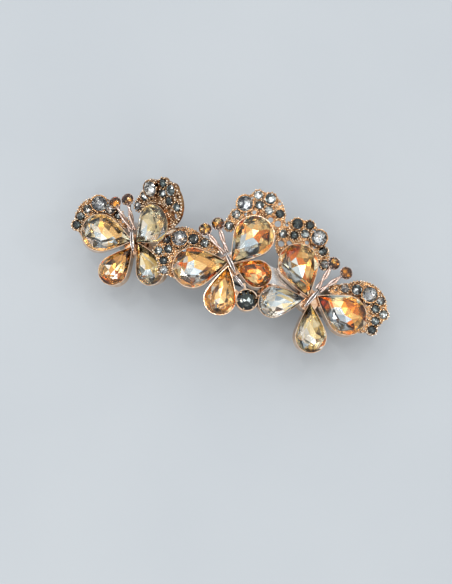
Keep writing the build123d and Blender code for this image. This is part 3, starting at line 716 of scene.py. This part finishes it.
def pear_cut(size, place, cool_reflection_share, pale, rng):
    """Pear stone with its girdle at Z = 0 of its wing's frame."""
    length, width = size
    middle = (length / 2 - width / 2) * 0.8
    cut = cut_stone(
        lambda share: pear_outline(length, width, share),
        8,
        4,
        (PEAR_CROWN, PEAR_GIRDLE, PEAR_PAVILION),
        middle,
        0.62,
    )
    warm, cool = (GOLD_MAINS, GOLD_CHIPS, GOLD_MAINS), (COOL_REFLECTION_MAINS, COOL_REFLECTION_CHIPS, COOL_REFLECTION_MAINS)
    if pale:
        warm = (PALE_MAINS, PALE_CHIPS, PALE_MAINS)
    tints = foil_tints(*cut, place, warm, cool, cool_reflection_share, rng)
    return placed((*cut, tints), place)


def round_cut(diameter, place, tint_set, rng, heart=None):
    """Round stone with its girdle at Z = 0 of its frame; heart tints its middle."""
    cut = cut_stone(
        lambda share: polar(diameter / 2, 360 * share),
        8 if diameter > 3 else 6,
        2,
        (0.2 * diameter, 0.03 * diameter, PAVILION_SHARE * diameter),
        0.0,
        0.56,
    )
    twist = place @ turn(rng.uniform(0, 45), "Z")
    shades = (tint_set, tint_set, heart or tint_set)
    tints = foil_tints(*cut, twist, shades, shades, 0.5, rng)
    return placed((*cut, tints), twist)


# ---- metal shapes -------------------------------------------------------------------------------
def tube(path, radii, sides, wander=None, across=None):
    """Round wire along a path, with a radius at each step; wander shifts its centre along two
    cross axes, and across, if given, is the first of them all the way."""
    points, faces = [], []
    for i, spot in enumerate(path):
        ahead = (path[min(i + 1, len(path) - 1)] - path[max(i - 1, 0)]).normalized()
        level = across or ahead.cross(Vector((0, 0, 1))).normalized()
        up = level.cross(ahead)
        dx, dy = wander(i) if wander else (0.0, 0.0)
        middle = spot + level * dx + up * dy
        for k in range(sides):
            x, y = polar(radii[i], 360 * k / sides)
            points.append(tuple(middle + level * x + up * y))
    for i in range(len(path) - 1):
        for k in range(sides):
            a, b = i * sides + k, i * sides + (k + 1) % sides
            faces.append([a, b, b + sides, a + sides])
    last = (len(path) - 1) * sides
    faces += [[k for k in range(sides)][::-1], [last + k for k in range(sides)]]
    return points, faces


def lathe(profile, sides):
    """Closed ring turned from a loop of radius and height points."""
    points = [(*polar(r, 360 * k / sides), z) for k in range(sides) for r, z in profile]
    n, faces = len(profile), []
    for k in range(sides):
        a, b = k * n, ((k + 1) % sides) * n
        for i in range(n):
            j = (i + 1) % n
            faces.append([a + i, b + i, b + j, a + j])
    return points, faces


def join_shapes(shapes):
    """Points and faces of several placed shapes as one."""
    points, faces = [], []
    for shape_points, shape_faces, place in shapes:
        start = len(points)
        points += [tuple(place @ Vector(p)) for p in shape_points]
        faces += [[start + i for i in face] for face in shape_faces]
    return points, faces


def outward(piece, smooth=True):
    """Turns a piece's faces outwards and shades them."""
    work = bmesh.new()
    work.from_mesh(piece.data)
    bmesh.ops.remove_doubles(work, verts=work.verts, dist=1e-7)
    bmesh.ops.recalc_face_normals(work, faces=work.faces)
    work.to_mesh(piece.data)
    work.free()
    for face in piece.data.polygons:
        face.use_smooth = smooth
    return piece


def claw(radius, height, reach, thickness, tuck=0.0):
    """Little bent claw over a stone's edge, leaning towards its middle; its foot is tucked in
    where the cup narrows."""
    path = [
        Vector((radius + 0.12 - tuck, 0, -0.9)),
        Vector((radius + 0.14 - tuck / 2, 0, -0.2)),
        Vector((radius + 0.1, 0, height * 0.55)),
        Vector((radius - reach * 0.5, 0, height)),
        Vector((radius - reach, 0, height + 0.02)),
    ]
    return tube(path, [thickness] * 4 + [0.6 * thickness], 6, across=Vector((0, 1, 0)))


def leaf_bar(length, width, height):
    """Leaf-shaped bar with a groove along its crest, standing on Z = 0."""
    # across the bar: side, shoulder, crest, groove, crest, shoulder, side
    section = [(-1, 0), (-0.95, 0.5), (-0.6, 1.0), (-0.25, 0.75), (0, 0.05)]
    section += [(-x, z) for x, z in reversed(section[:-1])]
    points, faces, n, steps = [], [], len(section), 24
    for i in range(steps + 1):
        x = length * (i / steps - 0.5)
        fullness = max(0.0, 1 - (2 * x / length) ** 2)
        reach = max(0.04, width / 2 * fullness)
        crest = height * (0.35 + 0.65 * fullness**0.5)
        points += [(x, side * reach, up * crest) for side, up in section]
    for i in range(steps):
        for k in range(n):
            a, b = i * n + k, i * n + (k + 1) % n
            faces.append([a, b, b + n, a + n])
    faces += [list(range(n)), [steps * n + k for k in range(n)]]
    return points, faces


# ---- beading with geometry nodes ---------------------------------------------------------------
def beading_tree(name, follow_edges):
    """Sets beads on a mesh's points, or at even steps along its edges."""
    tree = bpy.data.node_groups.new(name, "GeometryNodeTree")
    face = tree.interface
    face.new_socket("Geometry", in_out="INPUT", socket_type="NodeSocketGeometry")
    for label, default in (("Bead radius", 0.0002), ("Bead spacing", 0.00046)):
        socket = face.new_socket(label, in_out="INPUT", socket_type="NodeSocketFloat")
        socket.default_value = default
    face.new_socket("Uneven", in_out="INPUT", socket_type="NodeSocketFloat")
    face.new_socket("Metal", in_out="INPUT", socket_type="NodeSocketMaterial")
    face.new_socket("Geometry", in_out="OUTPUT", socket_type="NodeSocketGeometry")
    source = node(tree, "NodeGroupInput")
    points = source.outputs["Geometry"]
    if follow_edges:
        line = node(tree, "GeometryNodeMeshToCurve", {"Mesh": points}).outputs["Curve"]
        spaced = node(
            tree,
            "GeometryNodeCurveToPoints",
            {"Curve": line, "Length": source.outputs["Bead spacing"]},
            mode="LENGTH",
        )
        points = spaced.outputs["Points"]
    bead = node(
        tree,
        "GeometryNodeMeshUVSphere",
        {"Segments": 8, "Rings": 5, "Radius": source.outputs["Bead radius"]},
    ).outputs["Mesh"]
    smooth = node(tree, "GeometryNodeSetShadeSmooth", {"Geometry": bead}).outputs["Geometry"]
    least = node(
        tree,
        "ShaderNodeMath",
        {0: 1.0, 1: source.outputs["Uneven"]},
        operation="SUBTRACT",
    ).outputs["Value"]
    size = node(
        tree,
        "FunctionNodeRandomValue",
        {"Min": least, "Max": 1.0, "Seed": 4},
        data_type="FLOAT",
    )
    # the float sockets of the random node share their names with the vector ones
    tree.links.new(least, size.inputs[2])
    size.inputs[3].default_value = 1.0
    beads = node(
        tree,
        "GeometryNodeInstanceOnPoints",
        {"Points": points, "Instance": smooth, "Scale": size.outputs[1]},
    ).outputs["Instances"]
    solid = node(tree, "GeometryNodeRealizeInstances", {"Geometry": beads})
    dressed = node(
        tree,
        "GeometryNodeSetMaterial",
        {"Geometry": solid.outputs["Geometry"], "Material": source.outputs["Metal"]},
    )
    node(tree, "NodeGroupOutput", {"Geometry": dressed.outputs["Geometry"]})
    return tree


def bead(name, guide, tree, settings):
    """Runs a beading tree over a guide and keeps the result as a plain mesh."""
    modifier = guide.modifiers.new("beading", "NODES")
    modifier.node_group = tree
    for item in tree.interface.items_tree:
        if item.item_type == "SOCKET" and item.name in settings:
            modifier[item.identifier] = settings[item.name]
    bpy.context.view_layer.update()
    seen = guide.evaluated_get(bpy.context.evaluated_depsgraph_get())
    mesh = bpy.data.meshes.new_from_object(seen)
    if not mesh.polygons:
        raise RuntimeError(f"{name}: the beading made no faces")
    mesh.name = name
    guide.modifiers.remove(modifier)
    made = bpy.data.objects.new(name, mesh)
    bpy.context.scene.collection.objects.link(made)
    bpy.data.objects.remove(guide)
    return made


def guide_object(name, points, edges):
    """Mesh of points and edges that beading follows, from millimetres."""
    mesh = bpy.data.meshes.new(name)
    mesh.from_pydata([tuple(Vector(p) * MM) for p in points], edges, [])
    made = bpy.data.objects.new(name, mesh)
    bpy.context.scene.collection.objects.link(made)
    return made


def hidden_by_others(point, own):
    """Whether a point lies inside another wing's cup or an earlier plate."""
    earlier = True
    for name, _, wing, place in wings():
        local = place.inverted() @ point
        if name == own:
            earlier = False
            if in_pear(local.x, local.y, wing[0], CUP_WALL + 0.1):
                return True
            continue
        inside = WING_ROOM[0] < local.z < WING_ROOM[1]
        if inside and in_pear(local.x, local.y, wing[0], CUP_WALL + 0.1):
            return True
        if earlier and wing[5] and -PLATE_THICKNESS - 0.9 < local.z < PLATE_TOP + 0.3:
            if max(depth_in(shape, local.x, local.y) for shape in plate_shapes(wing)) > 0:
                return True
    return False


def plate_rim(name, wing, place):
    """Edge loops along a plate's open outline, just inside its top edge."""
    shapes = plate_shapes(wing)
    points, edges = [], []
    for shape in shapes:
        rim = capsule_rim((shape[0], shape[1], shape[2] + RIM_PROUD), RIM_STEP)
        kept = []
        for x, y in rim:
            covered = any(
                depth_in(other, x, y) > -0.03 for other in shapes if other is not shape
            )
            spot = place @ Vector((x, y, PLATE_TOP + 0.02))
            kept.append(None if covered or hidden_by_others(spot, name) else spot)
        for i, spot in enumerate(kept):
            if spot is None:
                continue
            points.append(spot)
            if i and kept[i - 1] is not None:
                edges.append((len(points) - 2, len(points) - 1))
    return points, edges


def ground_grains(name, wing, place, pitch, rng):
    """Points strewn over a plate's open ground, clear of its stones and piercings."""
    shapes, side = plate_shapes(wing), -1 if wing[2] > 0 else 1
    taken = [
        (x, y, ROUND_SIZES[kind][0] / 2 + GRAIN_CLEAR) for kind, (x, y, _) in plate_spots(wing)
    ]
    taken += [(u, side * v, r + GRAIN_CLEAR) for u, v, r in wing[5]["holes"]]
    reach = round(GROUND_REACH / pitch)
    points = []
    for i in range(-reach, reach + 1):
        for j in range(-reach, reach + 1):
            x = (i + rng.uniform(-0.3, 0.3)) * pitch
            y = (j + rng.uniform(-0.3, 0.3)) * pitch
            if max(depth_in(shape, x, y) for shape in shapes) < GRAIN_CLEAR:
                continue
            if any(math.hypot(x - ox, y - oy) < r for ox, oy, r in taken):
                continue
            spot = place @ Vector((x, y, PLATE_TOP + 0.02))
            if not hidden_by_others(spot, name):
                points.append(spot)
    return points


# ---- settings the user may change ----------------------------------------------------------------
class HairClipSizes(bpy.types.PropertyGroup):
    """Sizes of the small metalwork."""

    rim_bead_radius: bpy.props.FloatProperty(
        name="Rim bead radius",
        description="Radius of the beads along the plates' rims",
        default=0.0003,
        unit="LENGTH",
    )
    rim_bead_spacing: bpy.props.FloatProperty(
        name="Rim bead spacing",
        description="Distance between the beads along the plates' rims",
        default=0.00082,
        unit="LENGTH",
    )
    grain_radius: bpy.props.FloatProperty(
        name="Holding grain radius",
        description="Radius of the grains of metal that hold the small stones",
        default=0.00026,
        unit="LENGTH",
    )
    grain_pitch: bpy.props.FloatProperty(
        name="Ground grain pitch",
        description="Distance between the grains strewn over the plates' open ground",
        default=0.00062,
        unit="LENGTH",
    )
    wire_radius: bpy.props.FloatProperty(
        name="Antenna strand radius",
        description="Radius of each of an antenna's two strands",
        default=0.00034,
        unit="LENGTH",
    )
    wire_lay: bpy.props.FloatProperty(
        name="Antenna lay",
        description="Length of one turn of an antenna's two strands",
        default=0.009,
        unit="LENGTH",
    )


class HairClipStage(bpy.types.PropertyGroup):
    """Light and floor."""

    window_watts: bpy.props.FloatProperty(
        name="Window light",
        description="Power of the large soft light behind the clip",
        default=0.85,
    )
    fill_watts: bpy.props.FloatProperty(
        name="Fill light",
        description="Power of the soft light on the near side",
        default=0.5,
    )
    room_light: bpy.props.FloatProperty(
        name="Room light",
        description="Brightness of the room around the clip",
        default=0.88,
    )


# ---- operators -----------------------------------------------------------------------------------
class HAIRCLIP_OT_pear_stones(bpy.types.Operator):
    """Cuts the twelve pear stones and foils their backs"""

    bl_idname = "hairclip.pear_stones"
    bl_label = "Pear stones"

    def execute(self, context):
        for number, (name, _, wing, place) in enumerate(wings()):
            rng = random.Random(100 + number)
            cut = pear_cut(wing[0], place, wing[6], name in PALE_STONES, rng)
            add_stone(
                f"{name}_pear", [cut], "champagne_stone", "champagne crystal", f"{name}_stone"
            )
        return {"FINISHED"}


class HAIRCLIP_OT_round_stones(bpy.types.Operator):
    """Cuts the round stones of the plates, the antennae and the drop"""

    bl_idname = "hairclip.round_stones"
    bl_label = "Round stones"

    def execute(self, context):
        rng = random.Random(7)
        for name, _, wing, place in wings():
            if wing[5] is None:
                continue
            accent, pave = [], []
            for kind, spot in plate_spots(wing):
                seat_place = place @ Matrix.Translation(spot)
                tints = GREY_TINTS if rng.random() < 0.35 else BLACK_TINTS
                tints = SMOKY_TINTS if kind == "accent" else tints
                cut = round_cut(ROUND_SIZES[kind][0], seat_place, tints, rng)
                (accent if kind == "accent" else pave).append(cut)
            add_stone(
                f"{name}_accent", accent, "smoky_stone", "clear crystal",
                f"{name}_accent_stone",
            )
            add_stone(
                f"{name}_pave", pave, "black_diamond_stone", "clear crystal",
                f"{name}_pave_stones",
            )
        for who, spec in BUTTERFLIES.items():
            tips = []
            for s, t, rise in spec["antennae"]:
                height = rise + PAVILION_SHARE * ANTENNA_STONE + CUP_FLOOR_GAP
                spot = body_frame(spec) @ Matrix.Translation((s, t, height))
                tips.append(round_cut(ANTENNA_STONE, spot, TOPAZ_TINTS, rng))
            add_stone(
                f"{who}_antenna_tips", tips, "topaz_stone", "topaz crystal",
                f"{who}_antenna_stones",
            )
        place = arch_frame(*DROP_FOOT, GIRDLE_HEIGHT + DROP_RISE)
        # the drop's middle gets the painted sparkle tints
        cut = round_cut(DROP_DIAMETER, place, GREEN_TINTS, rng, PAINTED_SPARK_TINTS)
        add_stone("drop_jewel", [cut], "dark_green_stone", "clear crystal", "drop_stone")
        return {"FINISHED"}


class HAIRCLIP_OT_cast_settings(bpy.types.Operator):
    """Plates the cast frames, the pierced plates and the drop's cup"""

    bl_idname = "hairclip.cast_settings"
    bl_label = "Cast settings"

    def execute(self, context):
        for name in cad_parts:
            if name.endswith("_casting"):
                dress(name, finish("polished rose gold walls"))
            elif name.endswith("_plate") and name != "base_plate":
                dress(name, finish("cast rose gold plate"))
        dress("drop_cup", finish("polished rose gold walls"))
        return {"FINISHED"}


class HAIRCLIP_OT_beaded_rims(bpy.types.Operator):
    """Beads the open rims of the six pierced plates"""

    bl_idname = "hairclip.beaded_rims"
    bl_label = "Beaded rims"

    def execute(self, context):
        sizes = context.scene.hair_clip_sizes
        tree = beading_tree("beads along a rim", True)
        for name, _, wing, place in wings():
            if wing[5] is None:
                continue
            points, edges = plate_rim(name, wing, place)
            guide = guide_object("rim guide", points, edges)
            settings = {
                "Bead radius": sizes.rim_bead_radius,
                "Bead spacing": sizes.rim_bead_spacing,
                "Uneven": 0.2,
                "Metal": finish("burnished rose gold beads"),
            }
            seat(bead(f"{name}_rim_beads", guide, tree, settings), "rose_gold_plate")
        return {"FINISHED"}


class HAIRCLIP_OT_holding_grains(bpy.types.Operator):
    """Raises the grains of metal that hold the small stones"""

    bl_idname = "hairclip.holding_grains"
    bl_label = "Holding grains"

    def execute(self, context):
        sizes = context.scene.hair_clip_sizes
        tree = beading_tree("grains beside stones", False)
        rng = random.Random(3)
        for name, _, wing, place in wings():
            if wing[5] is None:
                continue
            stones = list(plate_spots(wing))
            points = []
            for kind, (x, y, z) in stones:
                count, gap = BEZEL_BEADS if kind == "accent" else STONE_GRAINS
                reach = ROUND_SIZES[kind][0] / 2 + gap
                first = rng.uniform(0, 90)
                for k in range(count):
                    dx, dy = polar(reach, first + 360 * k / count)
                    clear = all(
                        math.hypot(x + dx - ox, y + dy - oy) > ROUND_SIZES[other][0] / 2
                        for other, (ox, oy, _) in stones
                    )
                    spot = place @ Vector((x + dx, y + dy, z + 0.05))
                    if clear and not hidden_by_others(spot, name):
                        points.append(spot)
            points += ground_grains(name, wing, place, sizes.grain_pitch / MM, rng)
            guide = guide_object("grain guide", points, [])
            settings = {
                "Bead radius": sizes.grain_radius,
                "Uneven": 0.3,
                "Metal": finish("burnished rose gold beads"),
            }
            seat(bead(f"{name}_grains", guide, tree, settings), "rose_gold_plate")
        return {"FINISHED"}


class HAIRCLIP_OT_antennae(bpy.types.Operator):
    """Twists the antennae and turns the cups on their tips"""

    bl_idname = "hairclip.antennae"
    bl_label = "Antennae"

    def execute(self, context):
        sizes = context.scene.hair_clip_sizes
        strand, lay = sizes.wire_radius / MM, sizes.wire_lay / MM
        top = ANTENNA_STONE / 2
        cup = lathe(
            [
                (0.05, 0.0),
                (0.95, 0.0),
                (top + 0.02, ANTENNA_CUP * 0.75),
                (top + 0.14, ANTENNA_CUP),
                (top + 0.04, ANTENNA_CUP + 0.04),
                (top - 0.06, ANTENNA_CUP * 0.8),
                (0.85, 0.12),
                (0.05, 0.12),
            ],
            32,
        )
        for who, spec in BUTTERFLIES.items():
            place, shapes = body_frame(spec), []
            for index, (s, t, rise) in enumerate(spec["antennae"]):
                nose = turn(spec["body_turn"], "Z") @ Vector(
                    (BODY_LENGTH / 2 - ANTENNA_LAP, (1, -1)[index] * ANTENNA_GAP, 0)
                )
                start = Vector((nose.x, nose.y, SPINE_HEIGHT - ANTENNA_SINK))
                end = Vector((s, t, rise + ANTENNA_END_RISE))
                away = Vector((end.x - start.x, end.y - start.y, 0)).normalized()
                reach = (end - start).length
                first = start + (away + Vector((0, 0, 0.5))).normalized() * reach * 0.36
                second = end - away * reach * 0.34
                path = []
                for k in range(ANTENNA_STEPS + 1):
                    u = k / ANTENNA_STEPS * ANTENNA_SHARE
                    path.append(
                        start * (1 - u) ** 3
                        + first * 3 * u * (1 - u) ** 2
                        + second * 3 * u * u * (1 - u)
                        + end * u**3
                    )
                step = reach / ANTENNA_STEPS
                for phase in (0, 180):
                    points, faces = tube(
                        path, [strand] * len(path), 8,
                        lambda i, p=phase: polar(strand * 0.95, p + 360 * i * step / lay),
                    )
                    shapes.append((points, faces, place))
                spot = place @ Matrix.Translation((s, t, rise))
                shapes.append((*cup, spot))
                for k in range(4):
                    grip = claw(top, ANTENNA_CUP + 0.3 - CLAW_LIFT, 0.3, 0.14, 0.55)
                    lifted = spot @ Matrix.Translation((0, 0, CLAW_LIFT))
                    lifted = lifted @ turn(45 + 90 * k, "Z")
                    shapes.append((*grip, lifted))
            piece = mesh_object(f"{who}_twisted_antennae", *join_shapes(shapes))
            outward(piece)
            piece.data.materials.append(finish("pale rose drawn wire"))
            seat(piece, "pale_rose_plate", f"{who}_antennae")
        return {"FINISHED"}


class HAIRCLIP_OT_body_bars(bpy.types.Operator):
    """Shapes the grooved leaf along each butterfly's back"""

    bl_idname = "hairclip.body_bars"
    bl_label = "Body bars"

    def execute(self, context):
        for who, spec in BUTTERFLIES.items():
            rise = Matrix.Translation((0, 0, SPINE_HEIGHT + 0.02))
            place = body_frame(spec) @ turn(spec["body_turn"], "Z") @ rise
            shape = leaf_bar(BODY_LENGTH, 0.84 * BODY_WIDTH, BODY_HEIGHT)
            piece = outward(mesh_object(f"{who}_body_bar", *shape, place))
            piece.data.materials.append(finish("bright polished bar"))
            seat(piece, "pale_rose_plate", f"{who}_body")
        place = arch_frame(*TAIL_LEAF_FOOT, GIRDLE_HEIGHT + TAIL_LEAF_RISE, TAIL_LEAF_HEAD)
        piece = outward(mesh_object("middle_tail_leaf", *leaf_bar(*TAIL_LEAF), place))
        piece.data.materials.append(finish("bright polished bar"))
        seat(piece, "pale_rose_plate")
        return {"FINISHED"}


class HAIRCLIP_OT_drop_claws(bpy.types.Operator):
    """Bends the claws over the single round stone"""

    bl_idname = "hairclip.drop_claws"
    bl_label = "Drop claws"

    def execute(self, context):
        place = arch_frame(*DROP_FOOT, GIRDLE_HEIGHT + DROP_RISE)
        grip = claw(DROP_DIAMETER / 2, 0.5, 0.4, 0.17)
        shapes = [(*grip, place @ turn(30 + 60 * k, "Z")) for k in range(6)]
        piece = outward(mesh_object("drop_claws", *join_shapes(shapes)))
        piece.data.materials.append(finish("burnished rose gold beads"))
        seat(piece, "rose_gold_plate")
        return {"FINISHED"}


class HAIRCLIP_OT_spring_clip(bpy.types.Operator):
    """Finishes the barrette's steel parts"""

    bl_idname = "hairclip.spring_clip"
    bl_label = "Spring clip"

    def execute(self, context):
        for name in (
            "base_plate", "hinge_pin", "clasp_lever", "tension_bow",
            "catch_saddle", "catch_rivet", "catch_prong_front", "catch_prong_back",
        ):
            dress(name, finish("nickel plated spring steel"))
        return {"FINISHED"}


class HAIRCLIP_OT_stage(bpy.types.Operator):
    """Lays the pale floor and sets the lights and the camera"""

    bl_idname = "hairclip.stage"
    bl_label = "Stage"

    def execute(self, context):
        stage = context.scene.hair_clip_stage
        floor = mesh_object(
            "pale_floor",
            [(-900, -900, 0), (900, -900, 0), (900, 900, 0), (-900, 900, 0)],
            [[0, 1, 2, 3]],
        )
        floor.data.materials.append(finish("pale plaster"))

        def softbox(name, spot, size, watts, colour):
            lamp = bpy.data.lights.new(name, "AREA")
            lamp.shape = "RECTANGLE"
            lamp.size, lamp.size_y = size
            lamp.energy = watts
            lamp.color = paint(colour)[:3]
            held = bpy.data.objects.new(name, lamp)
            held.location = spot
            aim = Vector((0, 0, 0.015)) - Vector(spot)
            held.rotation_euler = aim.to_track_quat("-Z", "Y").to_euler()
            context.scene.collection.objects.link(held)

        softbox("window", (-0.35, 0.55, 0.55), (0.6, 0.45), stage.window_watts, "F4F8FF")
        softbox("near fill", (0.3, -0.5, 0.5), (0.3, 0.3), stage.fill_watts, "FFF6EC")
        softbox("side glint", (-0.55, -0.1, 0.35), (0.12, 0.3), SIDE_GLINT_WATTS, "FFFFFF")
        for number, spot in enumerate(GLINT_SPOTS):
            softbox(f"glint {number}", spot, GLINT_SIZE, GLINT_WATTS, "FFFFFF")

        world = bpy.data.worlds.new("studio")
        world.use_nodes = True
        tree = world.node_tree
        tree.nodes.clear()
        around = node(tree, "ShaderNodeTexCoord").outputs["Generated"]
        height = node(tree, "ShaderNodeSeparateXYZ", {"Vector": around}).outputs["Z"]
        lift = node(
            tree,
            "ShaderNodeMapRange",
            {"Value": height, "From Min": 0.0, "From Max": 0.9, "To Min": 0.66, "To Max": 1.4},
        ).outputs["Result"]
        level = node(
            tree,
            "ShaderNodeMath",
            {0: lift, 1: stage.room_light},
            operation="MULTIPLY",
        ).outputs["Value"]
        back = node(
            tree,
            "ShaderNodeBackground",
            {"Color": paint("EEF1F5"), "Strength": level},
        )
        output = node(tree, "ShaderNodeOutputWorld")
        tree.links.new(back.outputs["Background"], output.inputs["Surface"])
        context.scene.world = world

        lens = bpy.data.cameras.new("camera")
        lens.sensor_width = 36.0
        lens.lens = CAMERA_LENS
        lens.clip_start = 0.01
        camera = bpy.data.objects.new("camera", lens)
        azimuth, elevation = math.radians(CAMERA_TURN), math.radians(CAMERA_HEIGHT)
        right = Vector((math.cos(azimuth), math.sin(azimuth), 0))
        back_axis = Vector(
            (
                math.sin(azimuth) * math.cos(elevation),
                -math.cos(azimuth) * math.cos(elevation),
                math.sin(elevation),
            )
        )
        pose = Matrix((right, back_axis.cross(right), back_axis)).transposed().to_4x4()
        pose.translation = Vector(CAMERA_SPOT)
        camera.matrix_world = pose
        context.scene.collection.objects.link(camera)
        context.scene.camera = camera
        context.scene.view_settings.view_transform = "Standard"
        return {"FINISHED"}


OPERATORS = (
    HAIRCLIP_OT_pear_stones,
    HAIRCLIP_OT_round_stones,
    HAIRCLIP_OT_cast_settings,
    HAIRCLIP_OT_beaded_rims,
    HAIRCLIP_OT_holding_grains,
    HAIRCLIP_OT_antennae,
    HAIRCLIP_OT_body_bars,
    HAIRCLIP_OT_drop_claws,
    HAIRCLIP_OT_spring_clip,
    HAIRCLIP_OT_stage,
)


class HAIRCLIP_PT_panel(bpy.types.Panel):
    """Lists the clip's steps"""

    bl_idname = "HAIRCLIP_PT_panel"
    bl_label = "Hair Clip"
    bl_space_type = "VIEW_3D"
    bl_region_type = "UI"
    bl_category = "Hair Clip"

    def draw(self, context):
        for group in (context.scene.hair_clip_sizes, context.scene.hair_clip_stage):
            for key in group.bl_rna.properties.keys():
                if key not in ("rna_type", "name"):
                    self.layout.prop(group, key)
        for step in OPERATORS:
            self.layout.operator(step.bl_idname)


CLASSES = (HairClipSizes, HairClipStage, *OPERATORS, HAIRCLIP_PT_panel)


def register():
    for made in CLASSES:
        bpy.utils.register_class(made)
    bpy.types.Scene.hair_clip_sizes = bpy.props.PointerProperty(type=HairClipSizes)
    bpy.types.Scene.hair_clip_stage = bpy.props.PointerProperty(type=HairClipStage)


def unregister():
    del bpy.types.Scene.hair_clip_stage
    del bpy.types.Scene.hair_clip_sizes
    for made in reversed(CLASSES):
        bpy.utils.unregister_class(made)


def main():
    register()
    for step in OPERATORS:
        group, name = step.bl_idname.split(".")
        getattr(getattr(bpy.ops, group), name)()


if __name__ == "__main__":
    main()
